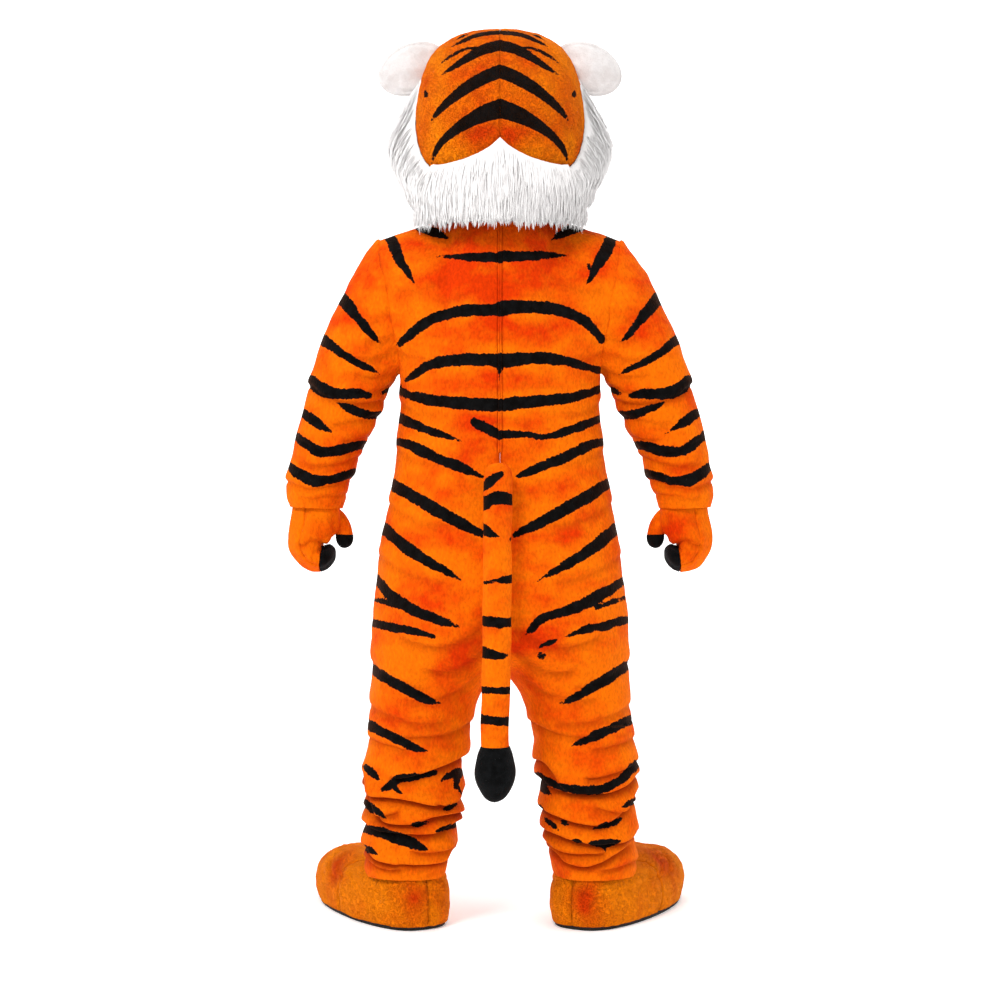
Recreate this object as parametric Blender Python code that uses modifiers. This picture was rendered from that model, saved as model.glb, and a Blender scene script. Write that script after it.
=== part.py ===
"""Tiger mascot costume, as it stands when worn: head with fur mane, one-piece
suit with a back zip, tail, paw gloves and boots.  Every cloth piece is a hollow
wall; the stuffed pieces (tail, ears, muzzle) are solid.

Tables give heights above the soles.  The finished pieces are lowered so that
the origin lies between the shoulders, where the wearer carries the costume.
+X is the wearer's left, -Y the front, +Z up.
"""
import math

import bmesh
import bpy
from mathutils import Vector

# ---------------------------------------------------------------- driving sizes
SHOULDER_HEIGHT = 1.480      # soles to the carrying point between the shoulders
CLOTH = 0.002                # short pile on knitted backing
BOOT_WALL = 0.003            # pile on thin foam
HEAD_WALL = 0.004            # pile on foam, stiff enough to keep the head's shape
SEAM = 0.0003                # half the gap between two pieces sewn together
LAID_ON = 0.0005             # gap under a piece that lies on another
FIT = 0.0035                 # stuffed pieces keep this off the head's facets
SHOULDER_GAP = 0.0010        # more seam gap where the shoulder seam bends sharply

PANEL_COLUMNS = 9            # facets across one quarter of the suit
PATCH_ROWS = 6               # facets from the armpit up to the shoulder seam
SLEEVE_FACETS = 16
GLOVE_FACETS = 16
BOOT_FACETS = 20
TAIL_FACETS = 12
THUMB_FACETS = 10
CROWN_FACETS = 6             # from the centre back round to the face panel
FACE_FACETS = 8
HEAD_FORM_FACETS = 28
BALL_SEGMENTS = 16
BALL_RINGS = 10
SHARP_ANGLE = 40.0           # facets that meet more sharply keep a hard edge

CHEST_HEIGHT = 1.170         # armpit level, where the yoke patches start
SHOULDER_TIP = (0.262, 1.447)
ARMPIT = (0.211, CHEST_HEIGHT)
ARMHOLE_DEPTH = 0.088
NECK = {"half_width": 0.090, "back": 0.080, "front": 0.085,
        "side_height": 1.505, "back_height": 1.505, "front_height": 1.462}
NECK_SHARE = 0.36            # share of the yoke's top edge that is neckline
YOKE_SQUARENESS = 2.2

# suit body: one row per section, from the armpits to the ankle hem.  Above the
# crotch the section spans the centre line, below it each leg has its own.
BODY_COLUMNS = ("height", "centre", "half_width", "back", "front")
BODY = (
    (1.170, 0.0000, 0.2110, 0.145, 0.150),
    (1.080, 0.0000, 0.2110, 0.141, 0.156),
    (1.000, 0.0000, 0.2190, 0.144, 0.161),
    (0.930, 0.0000, 0.2300, 0.154, 0.164),
    (0.860, 0.0000, 0.2430, 0.166, 0.166),
    (0.790, 0.0000, 0.2540, 0.176, 0.166),
    (0.720, 0.0150, 0.2480, 0.180, 0.164),
    (0.660, 0.0350, 0.2340, 0.178, 0.160),
    (0.620, 0.0600, 0.2120, 0.172, 0.156),
    (0.585, 0.1000, 0.1720, 0.158, 0.148),
    (0.560, 0.1240, 0.1480, 0.147, 0.141),
    (0.538, 0.1370, 0.1345, 0.138, 0.136),
    (0.500, 0.1530, 0.1190, 0.131, 0.131),
    (0.430, 0.1690, 0.1060, 0.124, 0.126),
    (0.385, 0.1770, 0.1035, 0.120, 0.122),
    (0.350, 0.1815, 0.0985, 0.114, 0.116),   # trough
    (0.325, 0.1840, 0.1030, 0.119, 0.120),   # roll
    (0.298, 0.1870, 0.0990, 0.113, 0.114),   # trough
    (0.268, 0.1905, 0.1080, 0.120, 0.120),   # roll
    (0.243, 0.1880, 0.1020, 0.112, 0.113),   # trough
    (0.220, 0.1870, 0.1060, 0.117, 0.117),   # roll
    (0.196, 0.1890, 0.0990, 0.109, 0.110),   # trough
    (0.170, 0.1920, 0.1010, 0.111, 0.112),   # roll
    (0.143, 0.1965, 0.0945, 0.102, 0.104),   # trough
    (0.105, 0.2015, 0.0895, 0.096, 0.100),   # hem
)
BODY_SQUARENESS = 2.25
HEM_RISE_FROM = 0.260        # below this the leg rides up over the instep,
HEM_RISE = 0.055             # most of all in the direction of the toes
HEM_RISE_SPREAD = 1.6

# sleeve: a row per ring, its outer and inner point in the front view
SLEEVE_COLUMNS = ("out_x", "out_height", "in_x", "in_height", "half_depth")
SLEEVE = (
    (0.3060, 1.388, 0.2205, 1.168, 0.087),
    (0.3400, 1.322, 0.2290, 1.160, 0.087),
    (0.3690, 1.260, 0.2370, 1.140, 0.086),
    (0.3920, 1.196, 0.2460, 1.112, 0.083),
    (0.4070, 1.135, 0.2600, 1.080, 0.079),
    (0.4240, 1.075, 0.2800, 1.040, 0.074),
    (0.4350, 1.025, 0.3000, 0.990, 0.070),
    (0.4440, 0.982, 0.3140, 0.952, 0.068),
    (0.4510, 0.942, 0.3260, 0.922, 0.066),
    (0.4540, 0.908, 0.3300, 0.900, 0.065),
    (0.4470, 0.884, 0.3360, 0.880, 0.059),   # gathered cuff
)

# zip placket down the centre back, and the tail that hangs below its end
ZIP_HALF_WIDTH = 0.0065
ZIP_THICKNESS = 0.0016
ZIP_BOTTOM = 1.000
TAIL_COLUMNS = ("height", "x", "y", "radius")
TAIL = (
    (0.9790, 0.0040, 0.1900, 0.0080),
    (0.9730, 0.0040, 0.1900, 0.0200),
    (0.9570, 0.0040, 0.1905, 0.0275),
    (0.9250, 0.0040, 0.1945, 0.0290),
    (0.8500, 0.0040, 0.2080, 0.0290),
    (0.7700, 0.0045, 0.2160, 0.0290),
    (0.6800, 0.0060, 0.2200, 0.0290),
    (0.5600, 0.0080, 0.2190, 0.0290),
    (0.4700, 0.0095, 0.2170, 0.0288),
    (0.4050, 0.0100, 0.2160, 0.0285),
)
TAIL_TIP = (
    (0.4045, 0.0100, 0.2160, 0.0300),
    (0.3850, 0.0100, 0.2160, 0.0370),
    (0.3550, 0.0102, 0.2160, 0.0420),
    (0.3280, 0.0104, 0.2160, 0.0375),
    (0.3050, 0.0106, 0.2160, 0.0240),
    (0.2920, 0.0108, 0.2160, 0.0070),
)

# glove: the hand curls inward.  Outer (knuckle side) and inner (palm side) points
GLOVE_COLUMNS = ("out_x", "out_height", "in_x", "in_height", "half_depth")
GLOVE = (
    (0.4360, 0.9450, 0.3420, 0.9330, 0.048),
    (0.4400, 0.8950, 0.3425, 0.8880, 0.050),
    (0.4450, 0.8600, 0.3400, 0.8540, 0.056),
    (0.4530, 0.8200, 0.3460, 0.8300, 0.060),
    (0.4470, 0.7870, 0.3590, 0.8160, 0.061),
    (0.4270, 0.7610, 0.3700, 0.8080, 0.060),
    (0.4030, 0.7470, 0.3780, 0.8040, 0.058),
    (0.3830, 0.7445, 0.3790, 0.8010, 0.056),
)
GLOVE_TIP = (
    (0.3812, 0.7447, 0.3762, 0.8008, 0.056),
    (0.3650, 0.7520, 0.3715, 0.8020, 0.052),
    (0.3530, 0.7690, 0.3640, 0.8030, 0.040),
    (0.3510, 0.7850, 0.3570, 0.7990, 0.020),
)
GLOVE_TIP_END = (0.3520, 0.7930)
GLOVE_SEAM_ANGLE = 68.0      # the panels meet this far round from the knuckles
FINGER_GROOVE = 0.10         # share of the thickness lost between the fingers
THUMB_COLUMNS = ("x", "height", "tilt", "radius")
THUMB = (
    (0.3560, 0.8700, 40.0, 0.0160),
    (0.3440, 0.8520, 28.0, 0.0185),
    (0.3345, 0.8330, 8.0, 0.0185),
    (0.3325, 0.8190, -4.0, 0.0180),
)
THUMB_TIP = (
    (0.3325, 0.8183, -4.0, 0.0180),
    (0.3330, 0.8060, -6.0, 0.0165),
    (0.3345, 0.7980, -10.0, 0.0100),
)
THUMB_TIP_END = (0.3350, 0.7955)
THUMB_HOLE = (               # where the thumb's hollow opens into the hand
    (0.3700, 0.8640, 50.0, 0.0120),
    (0.3300, 0.8340, 50.0, 0.0120),
)
THUMB_SHIFT = -0.012         # the thumb stands a little to the front

# boot: rings around the foot.  Lengths run from the heel's centre to the toe
BOOT_HEEL = (0.1985, 0.0)
BOOT_TOE_OUT = 30.0
SOLE_THICKNESS = 0.008
SOLE_EDGE = 0.0015
BOOT_COLUMNS = ("height", "heel", "waist", "toe", "half_width")
BOOT = (
    (0.0102, 0.087, 0.120, 0.326, 0.0930),
    (0.0400, 0.090, 0.120, 0.334, 0.0960),
    (0.0750, 0.088, 0.118, 0.326, 0.0935),
    (0.1000, 0.083, 0.105, 0.300, 0.0860),
    (0.1180, 0.079, 0.085, 0.256, 0.0720),
    (0.1290, 0.075, 0.052, 0.180, 0.0650),
    (0.1370, 0.072, 0.025, 0.116, 0.0640),
    (0.1500, 0.070, 0.000, 0.076, 0.0650),
    (0.2000, 0.068, 0.000, 0.070, 0.0640),
)
BOOT_SQUARENESS = 0.70

# head: rings of the foam form under the pile
HEAD_COLUMNS = ("height", "half_width", "back", "front")
HEAD = (
    (1.535, 0.128, 0.118, 0.120),
    (1.570, 0.154, 0.148, 0.150),
    (1.620, 0.173, 0.168, 0.172),
    (1.670, 0.180, 0.176, 0.182),
    (1.720, 0.177, 0.174, 0.180),
    (1.765, 0.168, 0.164, 0.168),
    (1.800, 0.157, 0.150, 0.152),
    (1.835, 0.138, 0.128, 0.130),
    (1.865, 0.110, 0.098, 0.100),
    (1.885, 0.070, 0.060, 0.062),
)
HEAD_TOP = 1.894
HEAD_TOP_RADIUS = 0.004      # where the closed form of the head ends
FACE_SEAM_ANGLE = 105.0      # from the centre back round to the face panel
FACE_GAP = 0.0011

# mane: the reach of the long fur.  It starts on the head and hangs to the collar
MANE_COLUMNS = ("height", "side", "back", "front")
MANE_REACH = (
    (1.440, 0.182, 0.156, 0.150),
    (1.460, 0.184, 0.160, 0.154),
    (1.500, 0.200, 0.184, 0.164),
    (1.550, 0.226, 0.203, 0.180),
    (1.600, 0.240, 0.210, 0.190),
    (1.650, 0.243, 0.210, 0.196),
    (1.700, 0.236, 0.208, 0.196),
    (1.760, 0.212, 0.196, 0.190),
)
MANE_INSIDE = (              # below the head's edge it hangs free of the shoulders
    (1.440, 0.168, 0.138, 0.130),
    (1.500, 0.162, 0.138, 0.130),
    (1.535, 0.150, 0.138, 0.134),
)
MANE_EDGE_COLUMNS = ("angle", "bottom", "top")
MANE_EDGE = (                # measured round from the centre back
    (0.0, 1.476, 1.668),
    (25.0, 1.476, 1.640),
    (52.0, 1.480, 1.608),
    (66.0, 1.488, 1.690),
    (84.0, 1.496, 1.757),
    (100.0, 1.494, 1.735),
    (125.0, 1.486, 1.660),
    (152.0, 1.480, 1.596),
)
CHEST_TUFT_EDGE = (          # the tuft under the chin, down to the front neckline
    (154.0, 1.470, 1.522),
    (180.0, 1.448, 1.522),
)
MANE_ROWS = 6
NAPE_ANGLE = 54.0
CHIN_ANGLE = 152.0
MANE_RIM = 0.004
MANE_LIFT = 0.005            # the facets' sagitta included
MANE_STEP = 8.0
MANE_SEAM = 0.002            # in radians round the head
MANE_TAPER_FROM = 0.5        # above this share of its height the fur thins out
MANE_TAPER = 1.5
MANE_TAPER_BEND = 1.5

# stuffed pieces of the head: centre, radii and turn about Y
EAR = {"centre": (0.196, -0.010, 1.812), "radii": (0.064, 0.020, 0.060), "turn": 36.0}
MUZZLE = {"centre": (0.0, -0.185, 1.628), "radii": (0.098, 0.085, 0.058)}
CHIN = {"centre": (0.0, -0.158, 1.560), "radii": (0.056, 0.050, 0.030)}
NOSE = {"centre": (0.0, -0.262, 1.662), "radii": (0.034, 0.024, 0.022)}
EYE = {"centre": (0.066, -0.158, 1.722), "radii": (0.030, 0.020, 0.036)}
EYE_TURN = 22.0

ORANGE = (0.86, 0.19, 0.010, 1.0)
BLACK = (0.012, 0.013, 0.014, 1.0)
WHITE = (0.86, 0.83, 0.80, 1.0)
ROSE = (0.45, 0.12, 0.11, 1.0)

SIDES = (("left", 1.0), ("right", -1.0))


# ---------------------------------------------------------------- small helpers
def clear_scene():
    for obj in list(bpy.data.objects):
        bpy.data.objects.remove(obj, do_unlink=True)


def make_collection(name):
    collection = bpy.data.collections.new(name)
    bpy.context.scene.collection.children.link(collection)
    return collection


def material(name, colour, roughness, metallic=0.0):
    mat = bpy.data.materials.new(name)
    mat.use_nodes = True
    shader = mat.node_tree.nodes["Principled BSDF"]
    shader.inputs["Base Color"].default_value = colour
    shader.inputs["Roughness"].default_value = roughness
    shader.inputs["Metallic"].default_value = metallic
    return mat


def named_rows(columns, table):
    return [dict(zip(columns, row)) for row in table]


def lookup(columns, table, value):
    """Row of a table at any value of its first column, by straight steps."""
    rows = sorted(table)
    value = min(max(value, rows[0][0]), rows[-1][0])
    for low, high in zip(rows, rows[1:]):
        if value <= high[0]:
            break
    share = (value - low[0]) / (high[0] - low[0])
    return dict(zip(columns, [a + (b - a) * share for a, b in zip(low, high)]))


def steps(start, end, count):
    return [start + (end - start) * index / count for index in range(count + 1)]


def mirrored(point, side):
    return (point[0] * side, point[1], point[2])


def power(value, exponent):
    """Signed power, for superellipse sections."""
    return math.copysign(abs(value) ** exponent, value)


# ---------------------------------------------------------------- mesh builders
def add_object(name, bm, mat, collection):
    bmesh.ops.recalc_face_normals(bm, faces=bm.faces)
    mesh = bpy.data.meshes.new(name)
    bm.to_mesh(mesh)
    bm.free()
    obj = bpy.data.objects.new(name, mesh)
    obj.location.z = -SHOULDER_HEIGHT
    mesh.materials.append(mat)
    mesh.shade_smooth()
    mesh.set_sharp_from_angle(angle=math.radians(SHARP_ANGLE))
    collection.objects.link(obj)
    return obj


def loft_faces(bm, rows, wrap, tip=None):
    """Faces between neighbouring rows of points; wrap joins last column to first."""
    verts = [[bm.verts.new(point) for point in row] for row in rows]
    columns = len(rows[0])
    last = columns if wrap else columns - 1
    for lower, upper in zip(verts, verts[1:]):
        for index in range(last):
            following = (index + 1) % columns
            bm.faces.new((lower[index], lower[following], upper[following], upper[index]))
    if tip is not None:
        apex = bm.verts.new(tip)
        for index in range(last):
            bm.faces.new((verts[-1][index], verts[-1][(index + 1) % columns], apex))
    return verts


def shell(name, rows, mat, collection, wrap=False, tip=None, wall=CLOTH):
    """Cloth wall, half of it on each side of the lofted surface."""
    bm = bmesh.new()
    loft_faces(bm, rows, wrap, tip)
    obj = add_object(name, bm, mat, collection)
    solidify = obj.modifiers.new("wall", "SOLIDIFY")
    solidify.thickness = wall
    solidify.offset = 0.0
    return obj


def stuffed(name, rows, mat, collection):
    """Closed solid through rings, capped at both ends."""
    bm = bmesh.new()
    verts = loft_faces(bm, rows, True)
    bm.faces.new(verts[0])
    bm.faces.new(verts[-1])
    return add_object(name, bm, mat, collection)


def thick_panel(name, outer, inner, mat, collection):
    """Closed solid between two surfaces with the same rows and columns."""
    bm = bmesh.new()
    out = loft_faces(bm, outer, False)
    ins = loft_faces(bm, inner, False)
    out_rim = rim(out)
    ins_rim = rim(ins)
    for index, vert in enumerate(out_rim):
        following = (index + 1) % len(out_rim)
        bm.faces.new((vert, out_rim[following], ins_rim[following], ins_rim[index]))
    return add_object(name, bm, mat, collection)


def rim(verts):
    bottom = verts[0]
    right = [row[-1] for row in verts[1:]]
    top = verts[-1][-2::-1]
    left = [row[0] for row in verts[-2:0:-1]]
    return bottom + right + top + left


def ball(name, form, side, turn_y, turn_z, mat, collection):
    """Stuffed ellipsoid."""
    bm = bmesh.new()
    bmesh.ops.create_uvsphere(bm, u_segments=BALL_SEGMENTS, v_segments=BALL_RINGS, radius=1.0)
    bmesh.ops.scale(bm, vec=Vector(form["radii"]), verts=bm.verts)
    obj = add_object(name, bm, mat, collection)
    centre = Vector(mirrored(form["centre"], side))
    obj.location += centre
    obj.rotation_euler = (0.0, math.radians(turn_y * side), math.radians(turn_z * side))
    return obj


def cut(obj, cutter):
    boolean = obj.modifiers.new("cut", "BOOLEAN")
    boolean.operation = "DIFFERENCE"
    boolean.object = cutter


def as_cutter(obj):
    obj.hide_render = True
    obj.display_type = "WIRE"
    return obj


# ---------------------------------------------------------------- suit body
def section_point(row, angle, depth):
    bend = 2.0 / BODY_SQUARENESS
    x = row["centre"] - row["half_width"] * power(math.cos(angle), bend)
    y = depth * power(math.sin(angle), bend)
    return x, y


def first_angle(row):
    """Where a section that spans the centre line starts; 0 on a separate leg."""
    share = (row["centre"] - SEAM) / row["half_width"]
    if share >= 1.0:
        return 0.0
    return math.acos(power(share, BODY_SQUARENESS / 2.0))


def hem_rise(height, angle, facing):
    """How far the leg is pushed up by the instep, at one point of a section."""
    turn = math.radians(BOOT_TOE_OUT)
    towards_toes = -math.cos(angle) * math.sin(turn) - facing * math.sin(angle) * math.cos(turn)
    if towards_toes <= 0.0 or height > HEM_RISE_FROM:
        return 0.0
    hem = BODY[-1][0]
    share = (HEM_RISE_FROM - height) / (HEM_RISE_FROM - hem)
    return HEM_RISE * share * towards_toes ** HEM_RISE_SPREAD


def body_rows(side, facing):
    """Rows of one quarter of the suit, from the ankle hem up to the armpit."""
    rows = []
    for row in reversed(named_rows(BODY_COLUMNS, BODY)):
        depth = row["back"] if facing > 0.0 else row["front"]
        points = []
        for angle in steps(first_angle(row), math.pi, PANEL_COLUMNS):
            x, y = section_point(row, angle, depth)
            height = row["height"] + hem_rise(row["height"], angle, facing)
            points.append(((x + SEAM) * side, facing * (y + SEAM), height))
        rows.append(points)
    return rows


def neckline(share, facing):
    """Top edge of a yoke patch: along the neck, then along the shoulder seam."""
    depth = NECK["back"] if facing > 0.0 else NECK["front"]
    middle = NECK["back_height"] if facing > 0.0 else NECK["front_height"]
    side = NECK["side_height"]
    if share <= NECK_SHARE:
        angle = 0.5 * math.pi * share / NECK_SHARE
        height = side + (middle - side) * math.cos(angle) ** 2
        return Vector((NECK["half_width"] * math.sin(angle), depth * math.cos(angle), height))
    along = (share - NECK_SHARE) / (1.0 - NECK_SHARE)
    start = Vector((NECK["half_width"], 0.0, side))
    tip = Vector((SHOULDER_TIP[0], 0.0, SHOULDER_TIP[1]))
    return start.lerp(tip, along)


def centre_line(rise, facing):
    """Centre back or centre front from the chest up to the neck."""
    row = named_rows(BODY_COLUMNS, BODY)[0]
    chest = row["back"] if facing > 0.0 else row["front"]
    top = neckline(0.0, facing)
    bend = 2.0 / YOKE_SQUARENESS
    up = power(math.sin(0.5 * math.pi * rise), bend)
    inward = 1.0 - power(math.cos(0.5 * math.pi * rise), bend)
    return Vector((0.0, chest + (top.y - chest) * inward,
                   CHEST_HEIGHT + (top.z - CHEST_HEIGHT) * up))


def armhole(rise):
    """Half of the armhole, from the armpit up to the shoulder tip."""
    up = 0.5 * (1.0 - math.cos(math.pi * rise))
    x = ARMPIT[0] + (SHOULDER_TIP[0] - ARMPIT[0]) * up
    height = ARMPIT[1] + (SHOULDER_TIP[1] - ARMPIT[1]) * up
    return Vector((x, ARMHOLE_DEPTH * math.sin(math.pi * rise), height))


def yoke_point(share, rise, facing):
    """Surface stretched between chest line, centre line, armhole and shoulder."""
    row = named_rows(BODY_COLUMNS, BODY)[0]
    depth = row["back"] if facing > 0.0 else row["front"]
    x, y = section_point(row, 0.5 * math.pi * (1.0 + share), depth)
    chest = Vector((x, y, CHEST_HEIGHT))
    corners = (Vector((0.0, depth, CHEST_HEIGHT)).lerp(armhole(0.0), share)).lerp(
        neckline(0.0, facing).lerp(neckline(1.0, facing), share), rise)
    across = centre_line(rise, facing).lerp(armhole(rise), share)
    upward = chest.lerp(neckline(share, facing), rise)
    return across + upward - corners


def yoke_rows(side, facing):
    rows = []
    for rise in steps(0.0, 1.0, PATCH_ROWS)[1:]:
        points = []
        for share in steps(0.0, 1.0, PANEL_COLUMNS):
            point = yoke_point(share, rise, facing)
            gap = SEAM + SHOULDER_GAP * rise ** 4
            points.append(((point.x + 2.0 * SEAM) * side, facing * (point.y + gap), point.z))
        rows.append(points)
    return rows


def build_suit(orange, collection):
    for side_name, side in SIDES:
        for face_name, facing in (("back", 1.0), ("front", -1.0)):
            rows = body_rows(side, facing) + yoke_rows(side, facing)
            shell(f"suit_{face_name}_{side_name}", rows, orange, collection)
        build_sleeve(side_name, side, orange, collection)
    build_zip_strip(orange, collection)


def ring(outer, inner, half_depth, facets, shift=0.0, groove=0.0):
    """Ring through an outer and an inner point of the front view."""
    middle = (outer + inner) * 0.5
    reach = (outer - inner) * 0.5
    points = []
    for index in range(facets):
        angle = 2.0 * math.pi * index / facets
        across = math.sin(angle)
        finger = 1.0 - groove * (0.5 - 0.5 * math.cos(3.0 * math.pi * (across + 1.0)))
        point = middle + reach * (math.cos(angle) * finger)
        points.append(Vector((point.x, shift + half_depth * across, point.z)))
    return points


def in_view(x, height):
    return Vector((x, 0.0, height))


def build_sleeve(side_name, side, orange, collection):
    seam_gap = 8.0 * SEAM
    rows = []
    first = ring(in_view(*SHOULDER_TIP), in_view(*ARMPIT), ARMHOLE_DEPTH, SLEEVE_FACETS)
    rows.append([mirrored((p.x + seam_gap, p.y, p.z), side) for p in first])
    for row in named_rows(SLEEVE_COLUMNS, SLEEVE):
        points = ring(in_view(row["out_x"], row["out_height"]),
                      in_view(row["in_x"], row["in_height"]),
                      row["half_depth"], SLEEVE_FACETS)
        rows.append([mirrored(point, side) for point in points])
    shell(f"sleeve_{side_name}", rows, orange, collection, wrap=True)


def build_zip_strip(orange, collection):
    """Covered zip: a narrow strip laid over the centre back seam."""
    lift = 0.5 * CLOTH + LAID_ON + 0.5 * ZIP_THICKNESS + SEAM
    line = []
    for height in steps(ZIP_BOTTOM, CHEST_HEIGHT, 3)[:-1]:
        line.append((lookup(BODY_COLUMNS, BODY, height)["back"] + lift, height))
    for rise in steps(0.0, 1.0, PATCH_ROWS):
        point = centre_line(rise, 1.0)
        steepness = rise ** 2
        line.append((point.y + lift, point.z + lift * steepness))
    rows = [[(-ZIP_HALF_WIDTH, y, z), (ZIP_HALF_WIDTH, y, z)] for y, z in line]
    shell("zip_strip", rows, orange, collection, wall=ZIP_THICKNESS)


# ---------------------------------------------------------------- tail
def round_rings(columns, table):
    rows = []
    for row in named_rows(columns, table):
        points = []
        for index in range(TAIL_FACETS):
            angle = 2.0 * math.pi * index / TAIL_FACETS
            points.append((row["x"] + row["radius"] * math.cos(angle),
                           row["y"] + row["radius"] * math.sin(angle), row["height"]))
        rows.append(points)
    return rows


def build_tail(orange, black, collection):
    stuffed("tail", round_rings(TAIL_COLUMNS, TAIL), orange, collection)
    stuffed("tail_tip", round_rings(TAIL_COLUMNS, TAIL_TIP), black, collection)


# ---------------------------------------------------------------- gloves
def glove_rings(table, side, grow=0.0):
    rows = []
    for index, row in enumerate(named_rows(GLOVE_COLUMNS, table)):
        outer = in_view(row["out_x"], row["out_height"])
        inner = in_view(row["in_x"], row["in_height"])
        away = (outer - inner).normalized() * grow
        deep = FINGER_GROOVE if table is GLOVE_TIP else FINGER_GROOVE * index / len(GLOVE)
        points = ring(outer + away, inner - away, row["half_depth"] + grow,
                      GLOVE_FACETS, groove=deep)
        rows.append([mirrored(point, side) for point in points])
    return rows


def thumb_rings(table, side):
    rows = []
    for row in named_rows(THUMB_COLUMNS, table):
        tilt = math.radians(row["tilt"])
        away = Vector((math.cos(tilt), 0.0, -math.sin(tilt))) * row["radius"]
        centre = in_view(row["x"], row["height"])
        points = ring(centre + away, centre - away, row["radius"], THUMB_FACETS, THUMB_SHIFT)
        rows.append([mirrored(point, side) for point in points])
    return rows


def build_glove(side_name, side, orange, black, collection, cutters):
    seam_column = round(GLOVE_SEAM_ANGLE / 360.0 * GLOVE_FACETS)
    rings = glove_rings(GLOVE, side)
    wide = GLOVE_FACETS - seam_column
    back_rows = []
    palm_rows = []
    for points in rings:
        lift = Vector((side * SEAM, 0.0, -SEAM))
        back = [Vector(points[index % GLOVE_FACETS]) + lift
                for index in range(wide, wide + 2 * seam_column + 1)]
        palm = [Vector(points[index]) - lift for index in range(seam_column, wide + 1)]
        back_rows.append(back)
        palm_rows.append(palm)
    shell(f"glove_{side_name}_back", back_rows, orange, collection)
    palm = shell(f"glove_{side_name}_palm", palm_rows, orange, collection)
    tip_end = mirrored((GLOVE_TIP_END[0], 0.0, GLOVE_TIP_END[1]), side)
    shell(f"glove_{side_name}_fingertips", glove_rings(GLOVE_TIP, side), black,
          collection, wrap=True, tip=tip_end)

    hand_form = as_cutter(stuffed(f"hand_form_{side_name}",
                                  glove_rings(GLOVE, side, CLOTH + LAID_ON),
                                  orange, cutters))
    thumb = shell(f"glove_{side_name}_thumb", thumb_rings(THUMB, side), orange,
                  collection, wrap=True)
    cut(thumb, hand_form)
    thumb_end = mirrored((THUMB_TIP_END[0], THUMB_SHIFT, THUMB_TIP_END[1]), side)
    shell(f"glove_{side_name}_thumb_tip", thumb_rings(THUMB_TIP, side), black,
          collection, wrap=True, tip=thumb_end)
    thumb_hole = as_cutter(stuffed(f"thumb_hole_{side_name}",
                                   thumb_rings(THUMB_HOLE, side),
                                   orange, cutters))
    cut(palm, thumb_hole)


# ---------------------------------------------------------------- boots
def boot_point(row, angle, side, shift=0.0):
    """Point of a boot ring; angle 0 is the toe, 180 the heel."""
    lengthways = math.cos(angle)
    reach = row["toe"] - row["waist"] if lengthways > 0.0 else row["waist"] + row["heel"]
    along = row["waist"] + reach * lengthways + shift
    across = row["half_width"] * power(math.sin(angle), BOOT_SQUARENESS)
    turn = math.radians(BOOT_TOE_OUT)
    x = BOOT_HEEL[0] + along * math.sin(turn) + across * math.cos(turn)
    y = BOOT_HEEL[1] - along * math.cos(turn) + across * math.sin(turn)
    return (x * side, y, row["height"])


def boot_rows(start, end, facets, side, shift, spread):
    rows = []
    for row in named_rows(BOOT_COLUMNS, BOOT):
        points = []
        for angle in steps(start, end, facets):
            point = Vector(boot_point(row, angle, side, shift))
            across = Vector(boot_point(row, 0.5 * math.pi, side)) - Vector(
                boot_point(row, -0.5 * math.pi, side))
            points.append(point + across.normalized() * spread)
        rows.append(points)
    return rows


def build_boot(side_name, side, orange, black, collection):
    gap = 2.5 * SEAM
    quarter = BOOT_FACETS // 4
    pieces = (
        ("vamp", -0.5 * math.pi, 0.5 * math.pi, 2 * quarter, gap, 0.0),
        ("quarter_outer", 0.5 * math.pi, math.pi, quarter, -gap, gap),
        ("quarter_inner", math.pi, 1.5 * math.pi, quarter, -gap, -gap),
    )
    for name, start, end, facets, shift, spread in pieces:
        rows = boot_rows(start, end, facets, side, shift, spread)
        shell(f"boot_{side_name}_{name}", rows, orange, collection, wall=BOOT_WALL)
    build_sole(side_name, side, black, collection)


def build_sole(side_name, side, black, collection):
    first = named_rows(BOOT_COLUMNS, BOOT)[0]
    for key in ("heel", "toe", "half_width"):
        first[key] += 0.5 * BOOT_WALL + SOLE_EDGE
    curve = bpy.data.curves.new(f"boot_{side_name}_sole", "CURVE")
    curve.dimensions = "2D"
    curve.fill_mode = "BOTH"
    curve.extrude = 0.5 * SOLE_THICKNESS
    facets = 2 * BOOT_FACETS
    spline = curve.splines.new("POLY")
    spline.points.add(facets - 1)
    for index, point in enumerate(spline.points):
        angle = 2.0 * math.pi * index / facets
        x, y, _ = boot_point(first, angle, side)
        point.co = (x, y, 0.0, 1.0)
    spline.use_cyclic_u = True
    obj = bpy.data.objects.new(f"boot_{side_name}_sole", curve)
    obj.location.z = 0.5 * SOLE_THICKNESS - SHOULDER_HEIGHT
    curve.materials.append(black)
    collection.objects.link(obj)
    weld = obj.modifiers.new("weld caps", "WELD")
    weld.merge_threshold = 0.0001


# ---------------------------------------------------------------- head
def head_point(row, angle, side, grow=0.0):
    """Point of a head ring; angle 0 is the centre back, 180 the centre front."""
    depth = row["back"] if math.cos(angle) > 0.0 else row["front"]
    return ((row["half_width"] + grow) * math.sin(angle) * side,
            (depth + grow) * math.cos(angle), row["height"])


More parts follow.
